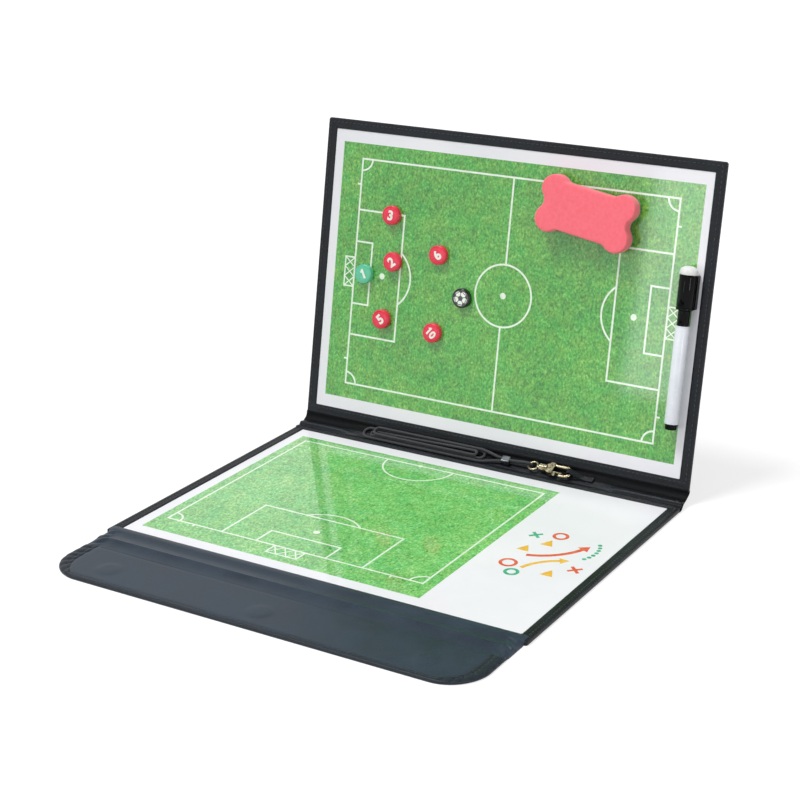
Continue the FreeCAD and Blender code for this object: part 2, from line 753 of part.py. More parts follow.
def swivel_clasp():
    """The swivel's ring and stem, the hooked body that turns on it, its trigger and pin."""
    centre = Vector(size("ring_centre"), 0, size("clasp_rise"))
    place = LANYARD.multiply(Placement(centre, Rotation()))

    def along(distance):
        return Placement(Vector(size(distance), 0, 0), X_FROM_Z)

    ring = doc.addObject("Part::Torus", "swivel_ring")
    bind(ring, Radius1="ring_radius", Radius2="ring_wire")
    head_end = "collar_start + collar_wall + swivel_fit + stem_head_length"
    stem = cylinder("swivel_stem", "stem_radius", f"{head_end} - ring_radius", along("ring_radius"))
    head = cylinder("swivel_head", "stem_head_radius", "stem_head_length",
                    along(f"{head_end} - stem_head_length"))
    node(fused("swivel_eye", ring, stem, head), "swivel_eye", place)

    room_start = "collar_start + collar_wall"
    room_end = f"{head_end} + swivel_fit"
    collar = turned("clasp_collar", [
        ("stem_radius + swivel_fit", "collar_start"), ("collar_radius", "collar_start"),
        ("collar_radius", "collar_start + collar_length"), ("0", "collar_start + collar_length"),
        ("0", room_end), ("stem_head_radius + swivel_fit", room_end),
        ("stem_head_radius + swivel_fit", room_start), ("stem_radius + swivel_fit", room_start)])
    collar.Placement = Placement(Vector(), X_FROM_Z)
    back = "collar_start + collar_length - clasp_lap"
    front = "hook_reach - hook_leg"
    shoulder = f"{front} - clasp_shoulder"
    mouth_side = "clasp_mouth_relief - clasp_half_width"
    half = "clasp_thickness / 2"
    plate = padded("clasp_plate", [
        (back, "-collar_radius"), (shoulder, mouth_side), (front, mouth_side),
        (front, "clasp_half_width"), (shoulder, "clasp_half_width"), (back, "collar_radius")],
        f"-{half}", half)
    reach = size("hook_reach")
    side = size("hook_half_width")
    leg = run(Vector(size(shoulder), side, 0), Vector(reach, side, 0))
    bend = half_turn(Vector(reach, side, 0), Vector(reach, -side, 0), Vector(1, 0, 0))
    lip = run(Vector(reach, -side, 0), Vector(reach - size("hook_mouth"), -side, 0))
    hook = solid("clasp_hook", tube(leg + bend + lip, size("hook_wire")))
    body = fused("clasp_stock", collar, plate, hook)

    pin_x = "hook_reach - pin_back"
    heel_x = f"{pin_x} - trigger_heel"
    tip_x = "hook_reach - hook_mouth + trigger_tip_lap"
    tip_out = "hook_wire + trigger_tip_gap - hook_half_width"
    tip_in = f"{tip_out} + trigger_tip_width"
    slot_half = "trigger_thickness / 2 + trigger_slot_play"
    slot = box("trigger_slot",
               (f"{heel_x} - trigger_swing_room", "-clasp_half_width", f"-({slot_half})"),
               (f"{front} + clasp_lap", f"{tip_in} + trigger_swing_room", slot_half))
    pin_foot = Placement(Vector(size(pin_x), -size("pin_aside"), -size(half)), Rotation())
    pin_hole = cylinder("pin_hole", "pin_radius + pin_fit", "clasp_thickness", pin_foot)
    node(cut("clasp_body", body, slot, pin_hole), "clasp_body", place)
    node(cylinder("trigger_pin", "pin_radius", "clasp_thickness", pin_foot), "trigger_pin", place)

    eye_out = "-(pin_aside + trigger_eye)"
    thumb_x = f"{pin_x} + trigger_thumb_reach"
    thumb_out = "-(pin_aside + trigger_thumb_out)"
    thick = "trigger_thickness / 2"
    lever = padded("trigger_lever", [
        (heel_x, eye_out), (f"{pin_x} + trigger_heel", eye_out),
        (f"{thumb_x} - trigger_thumb_width", thumb_out), (thumb_x, thumb_out), (thumb_x, tip_out),
        (tip_x, tip_out), (tip_x, tip_in), (heel_x, tip_in)], f"-{thick}", thick)
    bore = cylinder("trigger_bore", "pin_radius + trigger_bore_fit", "clasp_thickness", pin_foot)
    node(cut("clasp_trigger", lever, bore), "clasp_trigger", place)


def lanyard_tab():
    """A narrow strap sewn down at one end, which loops up round the hook and back to its seam."""
    centre_x = size("ring_centre + hook_reach + hook_half_width")
    floor = size("strip_layer")
    thick = size("tab_thickness")
    bore = size("tab_bore_radius")
    rise = size("clasp_rise")
    slope = size("tab_slope_length")
    seam_x = centre_x + slope
    end_x = seam_x + size("tab_sewn_length")
    outer = bore + thick

    def spot(x, z):
        return Vector(x, z, 0)

    outline = [
        Part.LineSegment(spot(end_x, floor), spot(centre_x, floor)),
        Part.Arc(spot(centre_x, floor), spot(centre_x - outer, rise), spot(centre_x, rise + outer)),
        Part.LineSegment(spot(centre_x, rise + outer), spot(seam_x, floor + 2 * thick)),
        Part.LineSegment(spot(seam_x, floor + 2 * thick), spot(end_x, floor + 2 * thick)),
        Part.LineSegment(spot(end_x, floor + 2 * thick), spot(end_x, floor))]
    inner_x = seam_x - 2 * thick
    opening = [
        Part.LineSegment(spot(inner_x, floor + thick), spot(centre_x, rise - bore)),
        Part.Arc(spot(centre_x, rise - bore), spot(centre_x - bore, rise), spot(centre_x, rise + bore)),
        Part.LineSegment(spot(centre_x, rise + bore), spot(inner_x, floor + thick))]
    body = doc.addObject("PartDesign::Body", "lanyard_tab")
    sketch = sketch_in(body, "XZ_Plane")
    sketch.addGeometry(outline + opening, False)
    pad = body.newObject("PartDesign::Pad", "lanyard_tab_pad")
    pad.Profile = sketch
    pad.Midplane = True
    bind(pad, Length="tab_width")
    doc.recompute()
    node(body, "lanyard_tab", LANYARD)


leaf("lower", "lower_spine_border", LOWER_LEAF)
leaf("rear", "border_width", REAR_LEAF)
strip("spine", "spine_width", "leaf_half", SPINE)
strip("gusset", "gusset_width", "flap_half", GUSSET)
flap()
for marker in ("player_1", "player_2", "player_3", "player_5", "player_6", "player_10", "ball"):
    disc(marker)
eraser()
pen()
lanyard_hank()
lanyard_fittings()
swivel_clasp()
lanyard_tab()

doc.recompute()
for item in doc.Objects:
    if "Invalid" in item.State or "Error" in item.State:
        raise RuntimeError(f"{item.Label} failed: {item.State}")
os.makedirs("parts", exist_ok=True)
for item in nodes:
    if item.Shape.isNull() or not item.Shape.isValid() or item.Shape.Volume <= 0:
        raise RuntimeError(f"{item.Label} has no valid solid")
    item.Shape.exportStep(f"parts/{item.Label}.step")
print(f"{len(nodes)} pieces, spine crease {spine_crease}, rear crease {rear_crease}")
print(f"gusset crease {gusset_crease}, flap crease {flap_crease}")
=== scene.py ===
"""Looks of the folding tactics board: skins, printed sheets, markers, eraser, pen and lanyard.

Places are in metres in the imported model's frame: X along the spine, +Y to the spine, +Z up.
Profiles, routes and tables of points are in millimetres.
"""
import bmesh
import bpy
import json
import math
from mathutils import Matrix, Vector

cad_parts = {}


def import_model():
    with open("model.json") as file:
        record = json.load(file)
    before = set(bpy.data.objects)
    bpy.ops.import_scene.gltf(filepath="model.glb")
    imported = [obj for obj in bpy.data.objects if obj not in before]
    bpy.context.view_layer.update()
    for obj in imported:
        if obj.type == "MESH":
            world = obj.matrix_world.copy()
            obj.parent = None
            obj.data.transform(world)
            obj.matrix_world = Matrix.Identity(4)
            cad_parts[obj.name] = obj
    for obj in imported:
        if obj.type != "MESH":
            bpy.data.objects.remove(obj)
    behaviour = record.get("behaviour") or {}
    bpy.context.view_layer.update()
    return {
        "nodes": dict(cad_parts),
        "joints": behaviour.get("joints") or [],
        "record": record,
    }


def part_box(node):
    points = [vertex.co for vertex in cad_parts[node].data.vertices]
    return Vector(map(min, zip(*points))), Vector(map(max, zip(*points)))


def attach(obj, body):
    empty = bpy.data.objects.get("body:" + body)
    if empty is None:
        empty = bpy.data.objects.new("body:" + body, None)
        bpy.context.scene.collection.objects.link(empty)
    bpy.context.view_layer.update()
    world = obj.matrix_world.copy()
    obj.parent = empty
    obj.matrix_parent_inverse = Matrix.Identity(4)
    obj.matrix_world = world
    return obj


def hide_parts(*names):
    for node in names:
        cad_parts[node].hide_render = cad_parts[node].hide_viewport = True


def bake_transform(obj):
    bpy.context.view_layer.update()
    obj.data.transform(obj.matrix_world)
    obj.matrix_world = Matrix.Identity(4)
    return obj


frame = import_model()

MM = 0.001
ACROSS = Vector((1, 0, 0))


# Frames of the leaves, the soft strips, the flap and the lanyard

def joint_place(name):
    """Where a joint's axis passes."""
    return Vector(next(item["pos_m"] for item in frame["joints"] if item["name"] == name))


def frame_at(origin, ahead):
    """A frame whose X runs along the spine and whose Y runs ahead."""
    place = Matrix((ACROSS, ahead, ACROSS.cross(ahead))).transposed().to_4x4()
    place.translation = origin
    return place


rear_back = next(item for item in frame["record"]["mounts"] if item["name"] == "rear_back")
spine_crease = joint_place("spine_crease")
rear_crease = joint_place("rear_leaf_crease")
gusset_crease = joint_place("gusset_crease")
flap_crease = joint_place("flap_crease")

LEAF_HALF, LEAF_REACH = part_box("lower_cover")[1].xy
SHEET_HALF, SHEET_REACH, SHEET_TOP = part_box("lower_print")[1]
SHEET_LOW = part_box("lower_print")[0].z
SPINE_WIDTH = (rear_crease - spine_crease).length
FLAP_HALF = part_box("flap_cover")[1].x
FLAP_DEPTH = flap_crease.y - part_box("flap_cover")[0].y

LOWER = Matrix.Identity(4)
REAR = frame_at(Vector(rear_back["pos_m"]), ACROSS.cross(Vector(rear_back["axis"])))
REAR_FOOT = REAR @ Matrix.Translation((0, -LEAF_REACH, 0))
SPINE = frame_at(spine_crease, (rear_crease - spine_crease).normalized())
LANYARD = SPINE @ Matrix.Translation((0, SPINE_WIDTH / 2, 0))
FLAP = Matrix.Translation((0, flap_crease.y, 0)) @ Matrix.Rotation(math.pi, 4, "Z")
LEAVES = {"lower": LOWER, "rear": REAR}


# Shader helpers

def tone(code):
    """A colour written as six hex digits, in the renderer's linear values."""
    shares = [int(code[start:start + 2], 16) / 255 for start in (0, 2, 4)]
    return (*(s / 12.92 if s <= 0.04045 else ((s + 0.055) / 1.055) ** 2.4 for s in shares), 1)


def feed(tree, node, values):
    """Set a node's inputs from plain values or from other nodes' outputs."""
    for name, value in values.items():
        if isinstance(value, bpy.types.NodeSocket):
            tree.links.new(value, node.inputs[name])
        else:
            node.inputs[name].default_value = value


def put(tree, kind, values=None, **settings):
    """A new node with its settings and inputs."""
    node = tree.nodes.new(kind)
    for name, value in settings.items():
        setattr(node, name, value)
    feed(tree, node, values or {})
    return node


def maths(tree, operation, first, second=0.0):
    """The result of one sum on two values."""
    return put(tree, "ShaderNodeMath", {0: first, 1: second}, operation=operation).outputs[0]


def spread(tree, value, low, high, start=0.0, end=1.0):
    """A value between start and end, spread over low to high."""
    reach = {"Value": value, "From Min": start, "From Max": end, "To Min": low, "To Max": high}
    return put(tree, "ShaderNodeMapRange", reach).outputs["Result"]


def ramp(tree, factor, *stops):
    """Colours along a factor from stops of position and hex digits."""
    node = put(tree, "ShaderNodeValToRGB", {"Fac": factor})
    marks = node.color_ramp.elements
    for mark, (position, code) in ((marks[0], stops[0]), (marks[1], stops[-1])):
        mark.position = position
        mark.color = tone(code)
    for position, code in stops[1:-1]:
        marks.new(position).color = tone(code)
    return node.outputs["Color"]


def own_coords(tree, stretch=(1, 1, 1)):
    """The piece's own coordinates, stretched along each axis."""
    coords = put(tree, "ShaderNodeTexCoord").outputs["Object"]
    return put(tree, "ShaderNodeMapping", {"Vector": coords, "Scale": stretch}).outputs["Vector"]


def noise(tree, scale, detail=3.0, rough=0.5, stretch=(1, 1, 1)):
    """Soft noise from 0 to 1."""
    values = {"Vector": own_coords(tree, stretch), "Scale": scale, "Detail": detail, "Roughness": rough}
    return put(tree, "ShaderNodeTexNoise", values).outputs["Fac"]


def bump(tree, shader, height, distance):
    """Raise the shader's surface by a height."""
    values = {"Height": height, "Distance": distance, "Strength": 1.0}
    feed(tree, shader, {"Normal": put(tree, "ShaderNodeBump", values).outputs["Normal"]})


def shading(name, **values):
    """A new material with its node tree and main shader."""
    material = bpy.data.materials.new(name)
    material.use_nodes = True
    tree = material.node_tree
    shader = tree.nodes["Principled BSDF"]
    feed(tree, shader, {key.replace("_", " "): value for key, value in values.items()})
    return material, tree, shader


def effect(name, inputs, outputs):
    """An empty shared effect with named number inputs and outputs."""
    group = bpy.data.node_groups.new(name, "ShaderNodeTree")
    for title, value in inputs.items():
        socket = group.interface.new_socket(title, in_out="INPUT", socket_type="NodeSocketFloat")
        socket.default_value = value
    for title in outputs:
        group.interface.new_socket(title, in_out="OUTPUT", socket_type="NodeSocketFloat")
    return group, put(group, "NodeGroupInput").outputs, put(group, "NodeGroupOutput")


def use(tree, group, **values):
    """A shared effect placed in a material."""
    return put(tree, "ShaderNodeGroup", values, node_tree=group).outputs


# Shared effects

def skin_grain():
    """Pebbled grain of imitation leather, with broad blotches of wear."""
    group, given, result = effect("skin_grain", {"Cells": 1200.0}, ("Height", "Blotch"))
    values = {"Vector": own_coords(group), "Scale": given["Cells"], "Randomness": 0.9}
    cell = put(group, "ShaderNodeTexVoronoi", values)
    pebble = spread(group, cell.outputs["Distance"], 1.0, 0.0, 0.05, 0.75)
    pores = noise(group, maths(group, "MULTIPLY", given["Cells"], 2.1), 2.0)
    feed(group, result, {
        "Height": maths(group, "ADD", pebble, maths(group, "MULTIPLY", pores, 0.35)),
        "Blotch": spread(group, noise(group, 34.0, 4.0, 0.6), 0.0, 1.0, 0.3, 0.7)})
    return group


def handling():
    """Faint rubs and fingerprints that dull a glossy surface."""
    group, given, result = effect("handling", {"Scale": 60.0}, ("Rubs",))
    broad = noise(group, given["Scale"], 5.0, 0.65, (1, 2.5, 1.6))
    feed(group, result, {"Rubs": spread(group, broad, 0.0, 1.0, 0.42, 0.72)})
    return group


def fibre():
    """Short tangled fibres of felt, or the open cells of foam at a larger size."""
    group, given, result = effect("fibre", {"Scale": 2500.0}, ("Height", "Fleck"))
    values = {"Vector": own_coords(group), "Scale": given["Scale"], "Detail": 4.0, "Distortion": 1.6}
    feed(group, result, {
        "Height": put(group, "ShaderNodeTexNoise", values).outputs["Fac"],
        "Fleck": spread(group, noise(group, 420.0), 0.0, 1.0, 0.35, 0.65)})
    return group


GRAIN = skin_grain()
HANDLING = handling()
FIBRE = fibre()


# Materials

# share of the turf's blades, tufts and patches, then their noise
TURF_LAYERS = (
    (0.7, 720.0, 4.0, 0.7, (1, 0.7, 0.7)), (0.2, 190.0, 3.0, 0.6), (0.1, 22.0, 2.0))
TURF_STOPS = (0.36, 0.44, 0.5, 0.56, 0.64)


def skin(name, dark, light, cells, gloss, shine, depth):
    """Imitation leather with pebbled grain."""
    material, tree, shader = shading(name, Specular_IOR_Level=shine)
    grain = use(tree, GRAIN, Cells=cells)
    worn = maths(tree, "MULTIPLY", maths(tree, "ADD", grain["Blotch"], grain["Height"]), 0.5)
    feed(tree, shader, {
        "Base Color": ramp(tree, worn, (0.15, dark), (0.85, light)),
        "Roughness": spread(tree, grain["Blotch"], gloss - 0.05, gloss + 0.08)})
    bump(tree, shader, grain["Height"], depth)
    return material


def print_film(tree, shader, colour, weight=1.0):
    """A print's colour under its clear film: a smooth coat over a duller ink."""
    rubs = use(tree, HANDLING, Scale=25.0)["Rubs"]
    feed(tree, shader, {
        "Base Color": colour, "Roughness": spread(tree, rubs, 0.38, 0.5),
        "Coat Weight": weight, "Coat Roughness": 0.06, "Coat IOR": 1.6})


def paper(name, colour, faded):
    """White margin of the print, a little uneven under its film."""
    material, tree, shader = shading(name)
    print_film(tree, shader, ramp(tree, noise(tree, 18.0), (0.3, faded), (0.7, colour)), 0.35)
    return material


def ink(name, colour, faded):
    """Flat printed ink under the film."""
    material, tree, shader = shading(name)
    print_film(tree, shader, ramp(tree, noise(tree, 300.0, 2.0), (0.35, faded), (0.6, colour)))
    return material


def grass(name, *greens):
    """Printed turf: mottled blades in five greens, from dark to light, bluer in some patches."""
    material, tree, shader = shading(name)
    mixed = 0.0
    for share, *layer in TURF_LAYERS:
        mixed = maths(tree, "ADD", mixed, maths(tree, "MULTIPLY", noise(tree, *layer), share))
    hue = spread(tree, noise(tree, 95.0), 0.487, 0.514, TURF_STOPS[0], TURF_STOPS[-1])
    colour = ramp(tree, mixed, *zip(TURF_STOPS, greens))
    tinted = put(tree, "ShaderNodeHueSaturation", {"Hue": hue, "Color": colour})
    print_film(tree, shader, tinted.outputs["Color"])
    return material


def plastic(name, dark, light, gloss, shine=0.5, wear=0.14):
    """Moulded plastic with faint flow marks and rubs."""
    material, tree, shader = shading(name, Specular_IOR_Level=shine)
    rubs = use(tree, HANDLING, Scale=220.0)["Rubs"]
    feed(tree, shader, {
        "Base Color": ramp(tree, noise(tree, 90.0), (0.3, dark), (0.7, light)),
        "Roughness": spread(tree, rubs, gloss, gloss + wear)})
    bump(tree, shader, noise(tree, 1500.0, 2.0), 0.14 * MM * wear)
    return material


def fluffy(name, dark, light, scale, depth):
    """Felt or foam: matt, with fibres or cells that catch the light."""
    material, tree, shader = shading(name, Roughness=0.9, Sheen_Weight=0.25, Sheen_Roughness=0.5)
    threads = use(tree, FIBRE, Scale=scale)
    feed(tree, shader, {"Base Color": ramp(tree, threads["Fleck"], (0.0, dark), (1.0, light))})
    bump(tree, shader, threads["Height"], depth)
    return material


def metal(name, dark, light, gloss):
    """Plated metal with a thin tarnish."""
    material, tree, shader = shading(name, Metallic=1.0)
    tarnish = noise(tree, 380.0, 4.0, 0.6)
    rubs = use(tree, HANDLING, Scale=400.0)["Rubs"]
    feed(tree, shader, {
        "Base Color": ramp(tree, tarnish, (0.35, dark), (0.65, light)),
        "Roughness": spread(tree, rubs, gloss, gloss + 0.15)})
    bump(tree, shader, tarnish, 0.03 * MM)
    return material


def braid(name, dark, light):
    """Braided cord: two sets of strands that cross, laid out on the tube's own map."""
    material, tree, shader = shading(name, Sheen_Weight=0.2)
    flat_map = put(tree, "ShaderNodeTexCoord").outputs["UV"]
    strands = []
    for lean in (1, -1):
        turned = put(tree, "ShaderNodeMapping", {"Vector": flat_map, "Scale": (1, lean, 1)})
        values = {"Vector": turned.outputs["Vector"], "Scale": 1.0, "Distortion": 0.0}
        wave = put(tree, "ShaderNodeTexWave", values, wave_type="BANDS", bands_direction="DIAGONAL")
        strands.append(wave.outputs["Fac"])
    height = maths(tree, "MAXIMUM", *strands)
    feed(tree, shader, {
        "Base Color": ramp(tree, height, (0.3, dark), (1.0, light)),
        "Roughness": spread(tree, height, 0.75, 0.5)})
    bump(tree, shader, height, 0.15 * MM)
    return material


FINISH = {
    "skin": skin("skin_black", "080a0d", "1c222a", 850.0, 0.44, 0.27, 0.14 * MM),
    # painted shade: a darker, duller copy of the skin for the rear half of the spine's lining, standing in
    # for the shadow in the gutter's deep crease
    "crease_skin": skin("skin_painted_crease_shade", "020304", "090b0e", 850.0, 0.55, 0.1, 0.14 * MM),
    "lining": skin("skin_lining", "1a2633", "2d3c4b", 1500.0, 0.4, 0.38, 0.03 * MM),
    "hem": skin("skin_hem", "101922", "1e2935", 1500.0, 0.46, 0.33, 0.03 * MM),
    "thread": fluffy("sewing_thread", "17191c", "31353a", 5000.0, 0.03 * MM),
    "paper": paper("print_paper", "edecf1", "e6e6ec"),
    "rear_grass": grass("print_grass_rear", "185f1a", "388b2c", "4ca336", "66b447", "9dcb66"),
    # painted light: the lower sheet's turf is a lighter copy of the rear sheet's greens, standing in for the
    # stronger light that falls on the flat sheet
    "lower_grass": grass("print_grass_lower_painted_light", "2d7a37", "56aa54", "6ec263", "8bd178", "c4e59a"),
    "white_ink": ink("ink_white", "f3f5f0", "e4e9df"),
    "line_ink": ink("ink_lines", "ebf6e6", "dceada"),
    "coral_ink": ink("ink_coral", "e23a24", "ea6448"),
    "amber_ink": ink("ink_amber", "f2b01a", "f5c64f"),
    "teal_ink": ink("ink_teal", "17a077", "4cb896"),
    "black_ink": ink("ink_black", "14161a", "23262b"),
    "red": plastic("disc_plastic_red", "e32b47", "ef3955", 0.22),
    "green": plastic("disc_plastic_green", "5abf9a", "6bcba8", 0.22),
    "black": plastic("disc_plastic_black", "121417", "1c1f23", 0.2),
    "foam": fluffy("eraser_foam", "fd6d7b", "ff7684", 2600.0, 0.02 * MM),
    "felt": fluffy("white_felt", "dcdddb", "eaebe9", 2600.0, 0.1 * MM),
    "grey_felt": fluffy("wiper_felt", "5c5f63", "7a7d80", 2600.0, 0.12 * MM),
    "pen_white": plastic("pen_white", "dde2ea", "e9edf3", 0.2),
    "pen_black": plastic("pen_black", "020304", "060709", 0.06, 0.12, 0.04),
    "chrome": metal("bright_metal", "55575b", "8b8e93", 0.3),
    "brass": metal("clasp_metal", "6b624d", "c4b99c", 0.26),
    "cord": braid("cord_braid", "090a0c", "282c32"),
    "board": fluffy("grey_board", "77736b", "8d897f", 900.0, 0.05 * MM),
    "steel": metal("steel_sheet", "7f8488", "a6abaf", 0.3),
    "magnet": metal("magnet_plating", "6d7073", "8d9194", 0.3),
}


# Flat paths, and lines through points

def flat(x, y):
    """A flat point given in millimetres."""
    return Vector((x, y)) * MM


def arc(centre, radius, start, end, steps=36):
    """Points on a flat arc between two angles in degrees."""
    turns = [math.radians(start + (end - start) * step / steps) for step in range(steps + 1)]
    return [centre + radius * Vector((math.cos(turn), math.sin(turn))) for turn in turns]


def ring_path(centre, radius, steps=72):
    """Points on a closed flat circle."""
    return arc(centre, radius, 0, 360, steps)[:-1]


def box_path(low, high):
    """The four corners of a flat rectangle."""
    return [low, Vector((high.x, low.y)), high, Vector((low.x, high.y))]


def smooth_path(corners, steps=6):
    """A rounded line through given points."""
    line = []
    for a, b, c, d in zip([corners[0]] + corners, corners, corners[1:], corners[2:] + [corners[-1]]):
        for step in range(steps):
            t = step / steps
            line.append(0.5 * (2 * b + (c - a) * t + (2 * a - 5 * b + 4 * c - d) * t ** 2
                               + (3 * b - a - 3 * c + d) * t ** 3))
    return line + [corners[-1]]


def headings(line):
    """The way ahead at each point of a line."""
    last = len(line) - 1
    spans = ((max(index - 1, 0), min(index + 1, last)) for index in range(len(line)))
    return [(line[after] - line[before]).normalized() for before, after in spans]


# Mesh helpers

LATHE_STEPS = 64
DOUBLE_POINTS = 1e-7


def loft(rings, wrapped=False, capped=True):
    """Points and faces of a skin over rings of equal count, each closed on itself."""
    count = len(rings[0])
    faces = []
    for row in range(len(rings) if wrapped else len(rings) - 1):
        here = row * count
        there = (row + 1) % len(rings) * count
        for first in range(count):
            second = (first + 1) % count
            faces.append((here + first, here + second, there + second, there + first))
    if capped and not wrapped:
        faces.append(tuple(range(count)))
        faces.append(tuple(range((len(rings) - 1) * count, len(rings) * count)))
    return [point for ring in rings for point in ring], faces


def lathe(profile, hollow=False):
    """Points and faces turned about Z from pairs of radius and height."""
    turns = [2 * math.pi * step / LATHE_STEPS for step in range(LATHE_STEPS)]
    rings = [[Vector((radius * math.cos(turn), radius * math.sin(turn), height)) * MM for turn in turns]
             for radius, height in profile]
    return loft(rings, wrapped=hollow, capped=False)


def slab(outline, low, high):
    """A flat patch between two levels."""
    return loft([[(*point, level) for point in outline] for level in (low, high)])


def stroke(path, width, closed, low, high):
    """A flat line of that width along a path, as a thin closed ribbon."""
    rings = []
    for index, point in enumerate(path):
        before = path[index - 1] if closed or index else None
        after = path[(index + 1) % len(path)] if closed or index + 1 < len(path) else None
        into = (point - before).normalized() if before else (after - point).normalized()
        out = (after - point).normalized() if after else into
        mitre = (into.orthogonal() + out.orthogonal()) / (1 + into.dot(out))
        left = point + mitre * width / 2
        right = point - mitre * width / 2
        rings.append([(*left, low), (*right, low), (*right, high), (*left, high)])
    return loft(rings, wrapped=closed)


def quilt(rows, floor):
    """Points and faces of a pad: rows of top points over a flat floor."""
    points, faces = loft([row + [(x, y, floor) for x, y, z in reversed(row)] for row in rows], capped=False)
    wide = len(rows[0])
    for start in (0, len(points) - 2 * wide):
        for column in range(start, start + wide - 1):
            under = 2 * start + 2 * wide - 1 - column
            faces.append((column, column + 1, under - 1, under))
    return points, faces


def merged(shapes):
    """Several shapes as one list of points and faces."""
    points = []
    faces = []
    for more_points, more_faces in shapes:
        base = len(points)
        points += more_points
        faces += [tuple(base + corner for corner in face) for face in more_faces]
    return points, faces


def show(name, data):
    """An object in the scene for a mesh, a curve, a light or a camera."""
    item = bpy.data.objects.new(name, data)
    bpy.context.scene.collection.objects.link(item)
    return item


def guide(name, kind, paths, closed=False):
    """A curve along paths, which a piece is made from."""
    curve = bpy.data.curves.new(name, "CURVE")
    curve.dimensions = "3D"
    for path in paths:
        spline = curve.splines.new(kind)
        spline.points.add(len(path) - 1)
        for control, point in zip(spline.points, path):
            control.co = (*point, 1)
        spline.use_cyclic_u = closed
    return show(name, curve)


def taken(item):
    """The plain mesh that a guide or a text gives, after which it goes."""
    graph = bpy.context.evaluated_depsgraph_get()
    mesh = bpy.data.meshes.new_from_object(item.evaluated_get(graph), depsgraph=graph)
    bpy.data.objects.remove(item)
    return mesh


def piece(name, shape, finishes, place=LOWER, marks=None, sharp=42):
    """A closed, smooth-shaded piece of the object in one or more finishes."""
    points, faces = shape
    mesh = bpy.data.meshes.new(name)
    mesh.from_pydata([place @ Vector(point) for point in points], [], faces)
    for finish in [finishes] if isinstance(finishes, str) else finishes:
        mesh.materials.append(FINISH[finish])
    for face, mark in (marks or {}).items():
        mesh.polygons[face].material_index = mark
    work = bmesh.new()
    work.from_mesh(mesh)
    bmesh.ops.remove_doubles(work, verts=work.verts, dist=DOUBLE_POINTS)
    bmesh.ops.recalc_face_normals(work, faces=work.faces)
    work.to_mesh(mesh)
    work.free()
    mesh.shade_smooth()
    mesh.set_sharp_from_angle(angle=math.radians(sharp))
    return show(name, mesh)


def settle(item, body, slot, *nodes):
    """Hand a piece to its body and hide the solids that it stands for; the slot is not used."""
    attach(item, body)
    if nodes:
        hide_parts(*nodes)
    return item


def add(name, shape, finish, place, body, slot, *nodes):
    """A new piece in its place, handed to its body."""
    return settle(piece(name, shape, finish, place), body, slot, *nodes)


def dress(finish, *nodes):
    """Give solids that stay as they are their finish."""
    for name in nodes:
        mesh = frame["nodes"][name].data
        mesh.materials.clear()
        mesh.materials.append(FINISH[finish])


# Stitches along seams

STITCH_PITCH = 3.4 * MM
STITCH_LENGTH = 2.6 * MM
THREAD_RADIUS = 0.3 * MM


def stitch_tree():
    """Geometry nodes that lay short stitches of thread end to end along curves."""
    tree = bpy.data.node_groups.new("stitch_row", "GeometryNodeTree")
    for title, kind in (("Path", "Geometry"), ("Pitch", "Float"), ("Length", "Float"), ("Thread", "Float"),
                        ("Finish", "Material")):
        tree.interface.new_socket(title, in_out="INPUT", socket_type="NodeSocket" + kind)
    tree.interface.new_socket("Stitches", in_out="OUTPUT", socket_type="NodeSocketGeometry")
    given = put(tree, "NodeGroupInput").outputs
    spots = put(tree, "GeometryNodeCurveToPoints", {"Curve": given["Path"], "Length": given["Pitch"]},
                mode="LENGTH")
    bead = put(tree, "GeometryNodeMeshUVSphere", {"Segments": 8, "Rings": 5, "Radius": 1.0})
    half = maths(tree, "MULTIPLY", given["Length"], 0.5)
    form = put(tree, "ShaderNodeCombineXYZ", {"X": given["Thread"], "Y": given["Thread"], "Z": half})
    stitch = put(tree, "GeometryNodeTransform", {"Geometry": bead.outputs["Mesh"], "Scale": form.outputs[0]})
    laid = put(tree, "GeometryNodeInstanceOnPoints", {
        "Points": spots.outputs["Points"], "Instance": stitch.outputs[0],
        "Rotation": spots.outputs["Rotation"]})
    shape = laid.outputs[0]
    for kind, values in (("RealizeInstances", {}), ("SetShadeSmooth", {}),
                         ("SetMaterial", {"Material": given["Finish"]})):
        shape = put(tree, "GeometryNode" + kind, {"Geometry": shape, **values}).outputs[0]
    feed(tree, put(tree, "NodeGroupOutput"), {"Stitches": shape})
    return tree


STITCHES = stitch_tree()


def sewn(name, paths, closed):
    """A row of stitches along each path, as one plain mesh."""
    item = guide(name + "_path", "POLY", paths, closed)
    row = item.modifiers.new("stitches", "NODES")
    row.node_group = STITCHES
    values = {"Pitch": STITCH_PITCH, "Length": STITCH_LENGTH, "Thread": THREAD_RADIUS,
              "Finish": FINISH["thread"]}
    for socket in STITCHES.interface.items_tree:
        if socket.name in values:
            row[socket.identifier] = values[socket.name]
    return show(name, taken(item))


# Leaves: skin cover, sewn border, folds at the free corners and stitches

LEAF_CORNER = 1.8 * MM
WINDOW_CORNER = 0.6 * MM
BORDER_WIDTH = 7.5 * MM
LOWER_SPINE_BORDER = 3.5 * MM
SIDE_STEPS = 44
STITCH_INSET = 2.7 * MM
SPINE_STITCH_INSET = 5.6 * MM
STITCH_LEVELS = (3.26 * MM, 0.31 * MM)
STITCH_CORNER = 1 * MM
MITRE_WIDTH = 0.5 * MM
MITRE_INSET = 1.5 * MM
MITRE_LEVELS = (3.0 * MM, 3.4 * MM)

# inset from the edge and height over the outer face, with a groove for the seam
COVER_PROFILE = (
    (9, 0), (3.3, 0), (3.0, 0.3), (2.4, 0.3), (2.1, 0), (1.4, 0), (0.5, 0.14), (0.12, 0.5), (0, 1.1),
    (0, 2.1), (0.12, 2.45), (0.4, 2.58), (0.6, 2.4), (0.6, 0.6), (9, 0.6))
